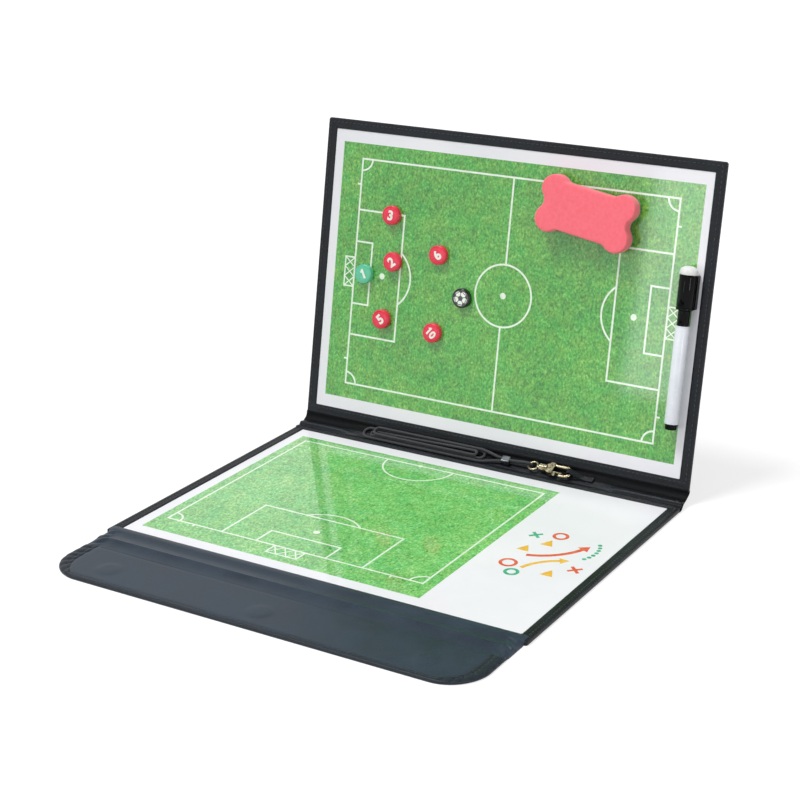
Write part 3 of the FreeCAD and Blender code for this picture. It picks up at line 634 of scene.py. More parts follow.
# share of the border's width from the edge to the window, and height
BORDER_PROFILE = (
    (0, 2.6), (0.004, 2.8), (0.03, 3.05), (0.09, 3.2), (0.18, 3.26), (0.3, 3.2), (0.36, 3.14), (0.42, 3.2),
    (0.6, 3.27), (0.82, 3.22), (0.94, 3.1), (0.99, 2.88), (1.0, 2.62), (0.9, 2.6))


def frame_ring(half, near, far, near_radius, far_radius, height, corner_steps=6):
    """A closed ring of points round a rectangle with round corners."""
    corners = (
        (1, near + near_radius, near_radius, -90), (1, far - far_radius, far_radius, 0),
        (-1, far - far_radius, far_radius, 90), (-1, near + near_radius, near_radius, 180))
    arcs = []
    for end, y, radius, start in corners:
        points = arc(Vector((end * (half - radius), y)), radius, start, start + 90, corner_steps)
        arcs.append([Vector((*point, height)) for point in points])
    ring = []
    for bend, following in zip(arcs, arcs[1:] + arcs[:1]):
        ring += bend
        ring += [bend[-1].lerp(following[0], step / SIDE_STEPS) for step in range(1, SIDE_STEPS)]
    return ring


def leaf_skin(side, spine_side, far_border):
    """A leaf's cover, the border round its window and its seams."""
    body = side + "_leaf"
    place = LEAVES[side]
    corners = (LEAF_CORNER, WINDOW_CORNER)[::spine_side]
    rings = []
    for inset, height in COVER_PROFILE:
        reach = LEAF_REACH - inset * MM
        radii = [max(corner - inset * MM, WINDOW_CORNER) for corner in corners]
        rings.append(frame_ring(LEAF_HALF - inset * MM, -reach, reach, *radii, height * MM))
    add(side + "_leaf_cover", loft(rings), "skin", place, body, "skin", side + "_cover")

    edge = (LEAF_HALF, -LEAF_REACH, LEAF_REACH, *corners)
    window = (LEAF_HALF - BORDER_WIDTH, BORDER_WIDTH - LEAF_REACH, LEAF_REACH - far_border,
              WINDOW_CORNER, WINDOW_CORNER)
    rings = []
    for share, height in BORDER_PROFILE:
        ring = [outer + (inner - outer) * share for outer, inner in zip(edge, window)]
        rings.append(frame_ring(*ring, height * MM))
    border = loft(rings, wrapped=True)
    add(side + "_leaf_border", border, "skin", place, body, "skin", side + "_border")
    leaf_seams(side, spine_side, window)


def leaf_seams(side, spine_side, window):
    """The folds at a leaf's free corners, and the stitches through border and cover."""
    body = side + "_leaf"
    place = LEAVES[side]
    folds = []
    for end in (-1, 1):
        outer = Vector((end * (LEAF_HALF - MITRE_INSET), spine_side * (MITRE_INSET - LEAF_REACH)))
        inner = Vector((end * window[0], window[1] if spine_side > 0 else window[2]))
        folds.append(stroke([outer, inner], MITRE_WIDTH, False, *MITRE_LEVELS))
    add(side + "_leaf_mitres", merged(folds), "skin", place, body, "skin")

    near = (STITCH_INSET if spine_side > 0 else SPINE_STITCH_INSET) - LEAF_REACH
    seam = (LEAF_HALF - STITCH_INSET, near, LEAF_REACH - STITCH_INSET, STITCH_CORNER, STITCH_CORNER)
    paths = [[place @ point for point in frame_ring(*seam, level)] for level in STITCH_LEVELS]
    settle(sewn(side + "_leaf_stitches", paths, True), body, "skin")


# Printed sheets: white margin, turf and pitch lines

LINE_WIDTH = 1.35 * MM
LINE_RISE = 0.03 * MM
LINE_STEP = 0.0003 * MM
INK_SHARP = 20
DOT_STEPS = 28
TURF_FACE = 9


def printed_sheet(side, turf_x, turf_y):
    """The sheet under its film, with the turf as the middle field of it."""
    columns = (-SHEET_HALF, *(x * MM for x in turf_x), SHEET_HALF)
    rows = (-SHEET_REACH, *(y * MM for y in turf_y), SHEET_REACH)
    shape = quilt([[(x, y, SHEET_TOP) for x in columns] for y in rows], SHEET_LOW)
    sheet = piece(side + "_sheet", shape, ("paper", side + "_grass"), LEAVES[side], {TURF_FACE: 1})
    settle(sheet, side + "_leaf", "pitch_print", side + "_print")


class Drawing:
    """Lines and patches of one ink on a sheet, each a hair above the last."""

    def __init__(self):
        self.shapes = []

    def levels(self):
        return SHEET_TOP, SHEET_TOP + LINE_RISE + LINE_STEP * len(self.shapes)

    def line(self, path, closed=False, width=LINE_WIDTH):
        self.shapes.append(stroke(path, width, closed, *self.levels()))

    def patch(self, outline):
        self.shapes.append(slab(outline, *self.levels()))

    def dot(self, centre, radius):
        self.patch(ring_path(centre, radius, DOT_STEPS))

    def done(self, name, finish, side):
        item = piece(name, merged(self.shapes), finish, LEAVES[side], sharp=INK_SHARP)
        settle(item, side + "_leaf", "pitch_print")


# Pitches, from the middles of their sheets, with the goals' lines in millimetres
SPOT_RADIUS = 2.25 * MM
TICK_LENGTH = 3
CORNER_STEPS = 12
NET_BAYS = 3
NET_FRAME = 0.8 * LINE_WIDTH
NET_CORD = 0.6 * LINE_WIDTH
FULL_MIDDLE = flat(1, 0.4)
FULL_HALF = flat(124.3, 83.4)
CENTRE_RADIUS = 22.2 * MM
FULL_GOAL = {
    "half_line": 83.4, "boxes": ((39, 46.3), (13.8, 23)), "spot": 24.1, "spot_arc": 24, "corner": 8.4,
    "net_depth": 8.2, "net_half": 10.8, "tick_inset": 18.5}
HALF_NEAR = flat(-34, -74.4)
HALF_FAR = flat(-34, 89)
HALF_CENTRE_RADIUS = 26.9 * MM
HALFWAY_SPOT_RADIUS = 1.7 * MM
HALF_GOAL = {
    "half_line": 98.4, "boxes": ((50.4, 54.4), (18, 26.9)), "spot": 30.4, "spot_arc": 28.9, "corner": 9.7,
    "net_depth": 10.8, "net_half": 11.8, "tick_inset": 22.3}


def goal_end(drawing, origin, inward, half_line, boxes, spot, spot_arc, corner, net_depth, net_half,
             tick_inset):
    """The boxes, spot, arc, net, corners and ticks of one goal line, from its middle."""
    aside = Vector((-inward.y, inward.x))
    facing = math.degrees(math.atan2(inward.y, inward.x))

    def at(along, depth):
        return origin + (aside * along + inward * depth) * MM

    for depth, half in boxes:
        drawing.line([at(-half, 0), at(-half, depth), at(half, depth), at(half, 0)])
    drawing.dot(at(0, spot), SPOT_RADIUS)
    opening = math.degrees(math.acos((boxes[0][0] - spot) / spot_arc))
    drawing.line(arc(at(0, spot), spot_arc * MM, facing - opening, facing + opening))
    frame_corners = [at(-net_half, -net_depth), at(net_half, -net_depth), at(net_half, 0), at(-net_half, 0)]
    drawing.line(frame_corners, True, NET_FRAME)
    posts = [net_half * (2 * bay / NET_BAYS - 1) for bay in range(NET_BAYS + 1)]
    for low, high in zip(posts, posts[1:]):
        drawing.line([at(low, -net_depth), at(high, 0)], width=NET_CORD)
        drawing.line([at(low, 0), at(high, -net_depth)], width=NET_CORD)
    for side, start in ((-1, facing), (1, facing - 90)):
        drawing.line(arc(at(side * half_line, 0), corner * MM, start, start + 90, CORNER_STEPS))
        tick = side * (half_line - tick_inset)
        drawing.line([at(tick, 0), at(tick, -TICK_LENGTH)])


def full_pitch():
    """The whole pitch with both goals, on the upright sheet."""
    drawing = Drawing()
    drawing.line(box_path(FULL_MIDDLE - FULL_HALF, FULL_MIDDLE + FULL_HALF), True)
    for way in (-1, 1):
        halfway = (FULL_HALF.y, CENTRE_RADIUS)
        drawing.line([FULL_MIDDLE + Vector((0, way * reach)) for reach in halfway])
    drawing.line(ring_path(FULL_MIDDLE, CENTRE_RADIUS), True)
    drawing.dot(FULL_MIDDLE, SPOT_RADIUS)
    for end in (-1, 1):
        goal_end(drawing, FULL_MIDDLE + Vector((end * FULL_HALF.x, 0)), Vector((-end, 0)), **FULL_GOAL)
    drawing.done("rear_pitch_lines", "line_ink", "rear")


def half_pitch():
    """One half of a pitch with its goal at the front, on the lower sheet."""
    drawing = Drawing()
    half = flat(HALF_GOAL["half_line"], 0)
    drawing.line(box_path(HALF_NEAR - half, HALF_FAR + half), True)
    goal_end(drawing, HALF_NEAR, Vector((0, 1)), **HALF_GOAL)
    drawing.line(arc(HALF_FAR, HALF_CENTRE_RADIUS, 180, 360))
    drawing.dot(HALF_FAR, HALFWAY_SPOT_RADIUS)
    drawing.done("lower_pitch_lines", "line_ink", "lower")


# Coaching motif on the white field of the lower sheet, from its own middle
MOTIF_PLACE = flat(112, 1)
MOTIF_LINE = 3.2 * MM
MOTIF_THIN = 0.7 * MOTIF_LINE
ARROW_HALF = 1.4
ARROW_LENGTH = 2.2
CONE = ((-4.4, -3.4), (4.4, -3.4), (0, 5.6))
CONE_PLACES = ((-18, 2), (-8, 16), (12, -24))


def sketch(x, y):
    """A point of the motif."""
    return MOTIF_PLACE + flat(x, y)


def arrow(drawing, path, width):
    """A thick line with a pointed head at its end."""
    drawing.line(path, width=width)
    ahead = (path[-1] - path[-2]).normalized()
    aside = ahead.orthogonal() * width * ARROW_HALF
    drawing.patch([path[-1] + aside, path[-1] - aside, path[-1] + ahead * width * ARROW_LENGTH])


def circle(drawing, x, y, radius, steps=40):
    """A player's place marked with a ring."""
    drawing.line(ring_path(sketch(x, y), radius * MM, steps), True, MOTIF_THIN)


def cross(drawing, x, y, reach):
    """A player's place marked with a cross."""
    for rise in (-reach, reach):
        drawing.line([sketch(x - reach, y - rise), sketch(x + reach, y + rise)], width=MOTIF_THIN)


def motif():
    """Runs, passes and cones as a coach would sketch them."""
    coral = Drawing()
    arrow(coral, arc(sketch(-24, 34), 42 * MM, -74, -22), MOTIF_LINE)
    circle(coral, -17, -22, 5)
    circle(coral, -6, 30, 4.4)
    cross(coral, 24, -11, 3.6)
    coral.done("motif_coral", "coral_ink", "lower")
    amber = Drawing()
    for x, y in CONE_PLACES:
        amber.patch([sketch(x + aside, y + up) for aside, up in CONE])
    arrow(amber, arc(sketch(26, -34), 34 * MM, 164, 118), 0.9 * MOTIF_LINE)
    amber.done("motif_amber", "amber_ink", "lower")
    teal = Drawing()
    for point in arc(sketch(0, 18), 25 * MM, -28, 28, 6):
        teal.dot(point, 1.5 * MM)
    circle(teal, -9, -33, 4, 36)
    cross(teal, -21, 24, 3.4)
    teal.done("motif_teal", "teal_ink", "lower")


leaf_skin("lower", 1, LOWER_SPINE_BORDER)
leaf_skin("rear", -1, BORDER_WIDTH)
printed_sheet("rear", (-140.4, 142.1), (-94.4, 94.9))
printed_sheet("lower", (-139.7, 72.7), (-93, 96.2))
full_pitch()
half_pitch()
motif()
dress("board", "lower_board", "rear_board")
dress("steel", "lower_steel", "rear_steel")


# Soft strips of the spine and the gusset, with rounds, humps and insets in millimetres

STRIP_SKIN = 0.6 * MM
STRIP_ROUND = 1.5 * MM
STRIP_STEPS = 90
# where a strip's section repeats near its ends, and how thin its ends and its free edge get
END_INSETS = (0, 0.12, 0.4, 0.75, 1.5, 2.4, 3.3, 4.2, 5.2, 6.2, 7.4, 8.6, 10)
END_THIN = 0.3
FREE_THIN = 0.25
FREE_GROWTH = 0.2
RUFFLE = 0.12 * MM
SPINE_BEND = 1.6 * MM
SPINE_ROUND = 3
SPINE_CLOSED = 1.3 * MM
SPINE_HUMP = (4.5, 5)
# where the cord leaves the gutter free, on the right and on the left
GUTTER_RIGHT = (92 * MM, 112 * MM)
GUTTER_LEFT = (103 * MM, 122 * MM)
# height of the gutter's ridge, valley and closed end, then its centre and reach over the strip
RIDGE = (2, 4.2, 3.2)
VALLEY = (0.9, 9.8, 4.4)
GUTTER_END = (0.9, 5, 5)
GUSSET_BEND = 1.4 * MM
LINING_EDGE = 0.8 * MM
LINING_SINK = 0.35 * MM
LINING_LOOSE = (110.4, 112)
COVER_EDGE = 0.45 * MM
COVER_LOOSE = (110.9, 112.2)
ROPE_ROUND = 4.2
ROPE_RISE = 0.35 * MM
ROPE_HUMP = (4, 4)
ROPE_SEAM = 0.35 * MM
ROPE_SEAM_HUMP = (9.6, 2)
ROPE_FOLD = 0.4
ROPE_FOLD_SHARP = 0.7
PLEAT_PITCH = 7.6 * MM
PLEAT_SLANT = 0.7
PLEAT_DEPTH = 0.72 * MM
PLEAT_START = (0.6, 2.6)
PLEAT_END = (6.5, 9.5)


def soft_wave(x):
    """A slow uneven wave along the spine, from -1 to 1."""
    return 0.5 * math.sin(61 * x + 0.4) + 0.3 * math.sin(143 * x + 1.9) + 0.2 * math.sin(287 * x + 4.1)


def eased(value, start, end):
    """A smooth step from 0 at start to 1 at end."""
    share = min(1, max(0, (value - start) / (end - start)))
    return share * share * (3 - 2 * share)


def bell(value, centre, reach):
    """A soft hump of height 1 at the centre that ends at the reach."""
    return max(0, 1 - ((value - centre) / reach) ** 2) ** 2


def end_fall(x, half, reach):
    """How far a strip's end has rounded off, from 0 inside to 1 at its edge."""
    inset = (half - abs(x)) / MM
    return 1 - math.sqrt(1 - max(0, 1 - inset / reach) ** 2)


def over_strip(point):
    """How far a point lies from the lower crease along the spine's strip, in millimetres."""
    return (SPINE.inverted() @ Vector((0, *point))).y / MM


def gutter(x, point):
    """How the lining rises beside the lower leaf and sinks beside the rear one, clear of the cord."""
    along = over_strip(point)
    free = eased(x, *GUTTER_RIGHT) + eased(-x, *GUTTER_LEFT)
    ridge, valley, closed = (rise * bell(along, *hump) for rise, *hump in (RIDGE, VALLEY, GUTTER_END))
    return free * (ridge - valley - closed * end_fall(x, LEAF_HALF, SPINE_ROUND)) * MM


def drawn_in(x, point):
    """How the spine's cover closes on its lining at both ends."""
    return SPINE_CLOSED * end_fall(x, LEAF_HALF, SPINE_ROUND) * bell(over_strip(point), *SPINE_HUMP)


def drooped(x, point):
    """How the gusset's lining is gathered like a rope at both ends and closes on its cover."""
    inset = (FLAP_HALF - abs(x)) / MM
    along = -point.x / MM
    fall = end_fall(x, FLAP_HALF, ROPE_ROUND)
    fold = abs(math.cos(math.pi * (along + PLEAT_SLANT * inset) * MM / PLEAT_PITCH))
    window = eased(inset, *PLEAT_START) * (1 - eased(inset, *PLEAT_END))
    rope = ROPE_RISE * bell(inset, *ROPE_HUMP) - ROPE_SEAM * bell(inset, *ROPE_SEAM_HUMP)
    sunk = (point.y - LINING_EDGE) * (fall + ROPE_FOLD * (1 - fold ** ROPE_FOLD_SHARP) * window)
    loose = eased(along, *LINING_LOOSE)
    return loose * (rope - sunk) - (1 - loose) * LINING_SINK * fall


def sagged(x, point):
    """How the gusset's cover sags to the table at both ends."""
    loose = eased(-point.x / MM, *COVER_LOOSE)
    return loose * (COVER_EDGE - point.y) * end_fall(x, FLAP_HALF, ROPE_ROUND)


def section(*runs):
    """Points in Y and Z from runs of a frame with its own points."""
    return [(place @ (Vector((0, *point)) * MM)).yz for place, points in runs for point in points]


def band(line, half, lift, free_end):
    """A band of skin along X whose section follows a line, thinned at its ends and free edge."""
    last = len(line) - 1
    facing = 1 if line[last].x > line[0].x else -1
    sides = [Vector((-ahead.y, ahead.x)) * facing for ahead in headings(line)]
    ends = [half - inset * MM for inset in END_INSETS]
    stations = [-end for end in ends]
    stations += [ends[-1] * (2 * step / STRIP_STEPS - 1) for step in range(1, STRIP_STEPS)]
    stations += reversed(ends)
    rings = []
    for x in stations:
        inside = min(1, (half - abs(x)) / STRIP_ROUND)
        thickness = STRIP_SKIN * max(END_THIN, math.sqrt(1 - (1 - inside) ** 2))
        upper = []
        lower = []
        for index, (point, side) in enumerate(zip(line, sides)):
            shift = lift(x, point) + RUFFLE * soft_wave(x) * math.sin(math.pi * index / last) ** 2
            thick = thickness * min(1, FREE_THIN + FREE_GROWTH * abs(index - free_end * last))
            upper.append(point + side * (shift + thick / 2))
            lower.append(point + side * (shift - thick / 2))
        rings.append([(x, *point) for point in upper + lower[::-1]])
    return loft(rings)


def strip(name, bodies, bend, half, lift, finish, free_end, *runs):
    """A band of skin in its resting shape, in place of its solid."""
    item = piece(name, band(smooth_path(section(*runs)), half, lift, free_end), finish)
    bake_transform(item)
    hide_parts(name.rsplit("_", 1)[0])


def spine():
    """The spine's lining and cover, each bending at both creases."""
    ahead = SPINE.to_3x3() @ Vector((0, 1, 0)) * SPINE_BEND
    up = REAR.to_3x3() @ Vector((0, 1, 0)) * SPINE_BEND
    lining = (SPINE_WIDTH / MM / 2, 0.38)
    cover = (SPINE_WIDTH / MM / 2, -1.25)
    front = ("lower_leaf", "spine")
    rear = ("spine", "rear_leaf")
    lining_bend = (spine_crease - Vector((0, SPINE_BEND, 0)), spine_crease + ahead)
    cover_bend = [Vector((0, *point)) for point in section((LOWER, [(114.8, 0.6)]), (SPINE, [cover]))]
    rear_bend = (rear_crease - ahead, rear_crease + up)
    strip("spine_lining_front", front, lining_bend, LEAF_HALF, gutter, "skin", 0,
          (LOWER, [(108.4, 3.45), (109.6, 3.62)]),
          (SPINE, [(0.1, 2.35), (1.3, 1.35), (2.3, 0.52), (4.5, 0.38), lining]))
    # the rear half of the lining takes the darker skin: painted shade in the gutter's crease
    strip("spine_lining_rear", rear, rear_bend, LEAF_HALF, gutter, "crease_skin", 1,
          (SPINE, [lining, (11, 0.38), (12.8, 0.48)]),
          (REAR_FOOT, [(-0.8, 3.46), (0.2, 3.54), (1.3, 3.4)]))
    strip("spine_cover_front", front, cover_bend, LEAF_HALF, drawn_in, "skin", 0,
          (LOWER, [(110.4, 0.4), (112.5, 0.42), (115.2, 0.65)]),
          (SPINE, [(5.6, -1.75), cover]))
    strip("spine_cover_rear", rear, rear_bend, LEAF_HALF, drawn_in, "skin", 1,
          (SPINE, [cover, (12.4, -1.25), (14.9, -1.2)]),
          (REAR_FOOT, [(-0.9, 0.32), (0.6, 0.34)]))


def gusset():
    """The soft strip between the lower leaf and the flap, with a fold beside the flap's crease."""
    middle = (gusset_crease.y + flap_crease.y) / 2 / MM
    reach = Vector((0, GUSSET_BEND, 0))
    back = (("lower_leaf", "gusset"), (gusset_crease + reach, gusset_crease - reach), FLAP_HALF)
    front = (("gusset", "flap"), (flap_crease + reach, flap_crease - reach), FLAP_HALF)
    strip("gusset_lining_back", *back, drooped, "lining", 0, (LOWER, [
        (-104.3, 3.4), (-105.3, 3.62), (-107.6, 3.82), (-109.6, 3.7), (-112, 3.32), (-114.5, 3.02),
        (-117, 2.98), (middle, 3.3)]))
    strip("gusset_lining_front", *front, drooped, "lining", 1, (LOWER, [
        (middle, 3.3), (-121.4, 3.72), (-122.3, 3.58), (-124.5, 2.9), (-127, 2.4), (-130, 2.08),
        (-132, 1.98), (-134, 1.85)]))
    strip("gusset_cover_back", *back, sagged, "skin", 0, (LOWER, [
        (-110.7, 0.4), (-111.9, 0.8), (-113.5, 1.4), (middle, 1.6)]))
    strip("gusset_cover_front", *front, sagged, "skin", 1, (LOWER, [
        (middle, 1.6), (-124, 1.2), (-127, 1.0), (-129, 0.8), (-130.2, 0.5)]))


spine()
gusset()


# Closing flap

FLAP_NEAR = 1 * MM
FLAP_SEWN = FLAP_NEAR + 2 * MM
FLAP_CORNER = 26 * MM
FLAP_CORNER_STEPS = 72
FLAP_STRAIGHT_X = FLAP_HALF - FLAP_CORNER
FLAP_STRAIGHT_Y = FLAP_DEPTH - FLAP_CORNER
FLAP_HEM = 6 * MM
HEM_SINK = 0.7 * MM
HEM_SLOPE = 7 * MM
PLEAT_UNEVEN = 1.1 * MM
PLEAT_FADE = (1.2, 1.55)
PLEAT_SHARP = 0.4
END_SHARE = 1.45
LONG_SHARE = 0.55
CREASE_SLOPE = 7 * MM
CREASE_DIP = 0.4 * MM
MAGNET_SPACING = 115 * MM
MAGNET_BACK = 27 * MM
MAGNET_BUMP = 0.3 * MM
MAGNET_RADIUS = 7.5 * MM
MAGNET_SOFT = 0.7 * MM
PANEL_TOP = 2.3 * MM
PANEL_LOW = 1.85 * MM
PANEL_START = FLAP_NEAR + 0.8 * MM
PANEL_SINK = 0.3 * MM
PANEL_EDGE = 2.5 * MM
PANEL_WAVE = 0.06 * MM
PANEL_ROWS = 16
PANEL_BEND_ROWS = 18
PANEL_BEND = 88
PANEL_COLUMNS = 160
# inset from the edge, height and share of the gathers
HEM_PROFILE = (
    (9, 0, 0), (2, 0, 0), (0.8, 0.1, 0), (0.15, 0.6, 0.1), (0, 1.2, 0.3), (0.15, 1.9, 0.6), (0.7, 2.4, 0.9),
    (1.7, 2.62, 1), (3.2, 2.62, 1), (4.2, 2.52, 1), (4.5, 2.34, 1), (4.8, 2.5, 1), (5.8, 2.5, 0.9),
    (6.3, 2.36, 0.6), (6.6, 1.95, 0), (9, 1.8, 0))
HEM_SEAM = (4.5, 2.3, 1)


def gather(x, y, inset):
    """How deep a point of the hem lies in a fold of the gathered ends, from 0 to 1."""
    aside = abs(x) - FLAP_STRAIGHT_X
    if aside <= 0:
        return 0
    turn = math.atan2(max(y - FLAP_STRAIGHT_Y, 0), aside)
    along = min(y, FLAP_STRAIGHT_Y) + FLAP_CORNER * turn
    fade = eased(along, FLAP_NEAR, FLAP_SEWN) * (1 - eased(turn, *PLEAT_FADE))
    uneven = PLEAT_UNEVEN * soft_wave(x + 3 * along)
    wave = abs(math.cos(math.pi * (along + PLEAT_SLANT * inset + uneven) / PLEAT_PITCH))
    return fade * (1 - wave ** PLEAT_SHARP)


def flap_ring(inset, height, gathered):
    """A ring inside the flap's edge, with a wide hem on the ends, sunk where the hem is gathered."""
    inset *= MM
    ring = frame_ring(FLAP_HALF, FLAP_NEAR, FLAP_DEPTH, WINDOW_CORNER, FLAP_CORNER, height * MM,
                      FLAP_CORNER_STEPS)
    for point in ring:
        aside = max(0, abs(point.x) - FLAP_STRAIGHT_X) * END_SHARE * inset / FLAP_CORNER
        beyond = max(0, point.y - FLAP_STRAIGHT_Y) * LONG_SHARE * inset / FLAP_CORNER
        point.x -= math.copysign(aside, point.x)
        point.y = max(point.y - beyond, FLAP_NEAR + min(inset, 1 * MM))
        folds = PLEAT_DEPTH * gather(point.x, point.y, inset)
        folds += HEM_SINK * (1 - eased(point.y, FLAP_NEAR, HEM_SLOPE))
        point.z -= gathered * folds
    return ring


def panel_height(x, y, edge):
    """The lining's top: a dip along the crease, bumps over the magnets, an edge drawn into the folds."""
    rise = PANEL_TOP
    rise -= PANEL_SINK * max(0, 1 - edge / PANEL_EDGE) ** 2
    rise -= PANEL_SINK * max(0, 1 - edge / FLAP_HEM) * gather(x, y, END_SHARE * FLAP_HEM)
    rise -= CREASE_DIP * (1 - eased(y, FLAP_NEAR, CREASE_SLOPE))
    rise += PANEL_WAVE * soft_wave(0.6 * x + 0.9 * y)
    for place in (-MAGNET_SPACING, 0, MAGNET_SPACING):
        off = math.hypot(x - place, y - MAGNET_BACK)
        rise += MAGNET_BUMP / (1 + math.exp((off - MAGNET_RADIUS) / MAGNET_SOFT))
    return rise


def flap_panel():
    """Rows of points over the flap's lining, inside the hem."""
    half = FLAP_HALF - END_SHARE * FLAP_HEM
    bend_y = FLAP_CORNER - LONG_SHARE * FLAP_HEM
    length = FLAP_STRAIGHT_Y - PANEL_START
    stops = [(PANEL_START + length * step / PANEL_ROWS, half) for step in range(PANEL_ROWS)]
    for step in range(PANEL_BEND_ROWS + 1):
        turn = math.radians(PANEL_BEND * step / PANEL_BEND_ROWS)
        narrowed = (half - FLAP_STRAIGHT_X) * (1 - math.cos(turn))
        stops.append((FLAP_STRAIGHT_Y + bend_y * math.sin(turn), half - narrowed))
    far = FLAP_DEPTH - LONG_SHARE * FLAP_HEM
    rows = []
    for y, width in stops:
        places = [width * (2 * step / PANEL_COLUMNS - 1) for step in range(PANEL_COLUMNS + 1)]
        rows.append([(x, y, panel_height(x, y, min(width - abs(x), far - y))) for x in places])
    return rows


def flap():
    """The flap's skin with its gathered hem, the lining panel and the stitches of the hem."""
    rings = [flap_ring(*stop) for stop in HEM_PROFILE]
    add("flap_skin", loft(rings), "hem", FLAP, "flap", "skin", "flap_cover")
    add("flap_panel", quilt(flap_panel(), PANEL_LOW), "lining", FLAP, "flap", "skin", "flap_lining")
    hem = [FLAP @ point for point in flap_ring(*HEM_SEAM) if point.y > FLAP_SEWN]
    settle(sewn("flap_stitches", [hem], False), "flap", "skin")
    dress("board", "flap_stiffener")
    dress("magnet", "flap_magnets")


flap()


# Numbered discs and the ball disc

CAP_PROFILE = (
    (0, 1.8), (5.45, 1.8), (5.45, 0.1), (5.6, 0), (6.75, 0), (7, 0.25), (7, 3.3), (6.9, 3.75), (6.62, 4.06),
    (6.3, 4.2), (6.05, 4.16), (5.95, 3.98), (5.95, 3.8), (0, 3.8))
FACE_PROFILE = ((0, 3.8), (5.9, 3.8), (5.9, 4.0), (5.75, 4.1), (3, 4.14), (0, 4.15))
FACE_TOP = 4.13 * MM
MAGNET_LIFT = 0.05 * MM
NUMERAL_SIZES = (9.4 * MM, 8.0 * MM)
NUMERAL_RISE = 0.06 * MM
NUMERAL_BOLD = 0.042
# the stroke that makes a bare bar a one, and its width and rise, as shares of the numeral's own
FLAG_PATH = ((0.26, 0.66), (0.07, 0.5))
FLAG_WIDTH = 0.14
FLAG_RISE = 0.9
# each numeral's turn on its disc, in degrees
PLAYER_TURNS = {1: 28, 2: 38, 3: -6, 5: 45, 6: 55, 10: -40}
# the ball's rim, seams and patches: radius, and turn from an arm in degrees
BALL_RIM = 5.6 * MM
BALL_SEAM = 0.5 * MM
BALL_INK = 0.05 * MM
BALL_ARMS = range(90, 450, 72)
BALL_CORE = 2.2
BALL_ARM = ((2.1, 0), (3.7, 0))
BALL_PATCH = ((3.7, 0), (4.9, -20), (5.5, -13), (5.6, 0), (5.5, 13), (4.9, 20))
BALL_LINK = ((4.75, 21), (4.4, 36), (4.75, 51))


def sheet_middle(node):
    """The middle of a solid, in the rear sheet's frame."""
    low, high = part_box(node)
    return REAR.inverted() @ ((low + high) / 2)


def seat(node):
    """The frame of a piece on the rear sheet, under the middle of its solid."""
    middle = sheet_middle(node)
    return REAR @ Matrix.Translation((middle.x, middle.y, SHEET_TOP + MAGNET_LIFT))


def numeral(text):
    """Points and faces of a bold numeral, with a flag on the one."""
    size = NUMERAL_SIZES[len(text) - 1]
    words = bpy.data.curves.new("numeral", "FONT")
    words.body = text
    words.size = size
    words.extrude = NUMERAL_RISE
    words.offset = NUMERAL_BOLD * size
    words.resolution_u = 6
    mesh = taken(show("numeral", words))
    points = [vertex.co.copy() for vertex in mesh.vertices]
    shapes = [(points, [tuple(face.vertices) for face in mesh.polygons])]
    if text.startswith("1"):
        flag = [size * Vector(point) for point in FLAG_PATH]
        rise = FLAG_RISE * NUMERAL_RISE
        shapes.append(stroke(flag, FLAG_WIDTH * size, False, -rise, rise))
    return merged(shapes)


def marker(name, finish, face_finish, slot):
    """A disc's cap and printed face."""
    place = seat(name + "_cap")
    add(name + "_shell", lathe(CAP_PROFILE), finish, place, name, slot, name + "_cap")
    add(name + "_print", lathe(FACE_PROFILE), face_finish, place, name, slot, name + "_face")
    dress("magnet", name + "_magnet")
    return place


def player(number, turn):
    """A disc with its numeral."""
    name = f"player_{number}"
    colour = "green" if number == 1 else "red"
    slot = "disc_" + colour
    place = marker(name, colour, colour, slot)
    shape = numeral(str(number))
    sides = list(zip(*shape[0]))
    middle = Vector([(min(side) + max(side)) / 2 for side in sides])
    spin = Matrix.Translation((0, 0, FACE_TOP)) @ Matrix.Rotation(math.radians(turn), 4, "Z")
    place = place @ spin @ Matrix.Translation(-middle)
    add(name + "_numeral", shape, "white_ink", place, name, slot)


def around(turn, points):
    """Flat points from radii and turns, turned further."""
    angles = [(radius, math.radians(turn + more)) for radius, more in points]
    return [radius * flat(math.cos(angle), math.sin(angle)) for radius, angle in angles]


def ball():
    """The ball disc, with black patches and seams on its white face."""
    place = marker("ball", "black", "white_ink", "disc_black")
    levels = (FACE_TOP - BALL_INK, FACE_TOP + BALL_INK)
    shapes = [stroke(ring_path(Vector((0, 0)), BALL_RIM), BALL_SEAM, True, *levels),
              slab(around(0, [(BALL_CORE, turn) for turn in BALL_ARMS]), *levels)]
    for turn in BALL_ARMS:
        shapes.append(stroke(around(turn, BALL_ARM), BALL_SEAM, False, *levels))
        shapes.append(slab(around(turn, BALL_PATCH), *levels))
        shapes.append(stroke(around(turn, BALL_LINK), BALL_SEAM, False, *levels))
    add("ball_patches", merged(shapes), "black_ink", place, "ball", "disc_black")


for number, turn in PLAYER_TURNS.items():
    player(number, turn)
ball()


# Foam eraser, in millimetres

ERASER_TILT = -9
ERASER_LENGTH = 71
ERASER_BREADTH = 40
ERASER_LOBE = 9.5
ERASER_NOTCH = 4
ERASER_WAIST = 33
ERASER_WAIST_ROUND = 6
NOTCH_STEPS = 10
LOBE_STEPS = 22
WAIST_STEPS = 8
# inset of the outline and height over the sheet
FOAM_PROFILE = (
    (6, 2.45), (0.7, 2.45), (0.2, 2.75), (0, 3.6), (-0.12, 6), (0, 10.4), (0.06, 11.2), (0.22, 11.7),
    (0.5, 12), (0.9, 12.15), (1.8, 12.2), (8, 12.25))
WIPER_PROFILE = ((6, 0.05), (1.0, 0.05), (0.8, 0.25), (0.8, 2.2), (1.1, 2.45), (6, 2.45))


def heading(start, end):
    """The angle of the way from one flat point to another, in degrees."""
    return math.degrees(math.atan2(end.y - start.y, end.x - start.x))


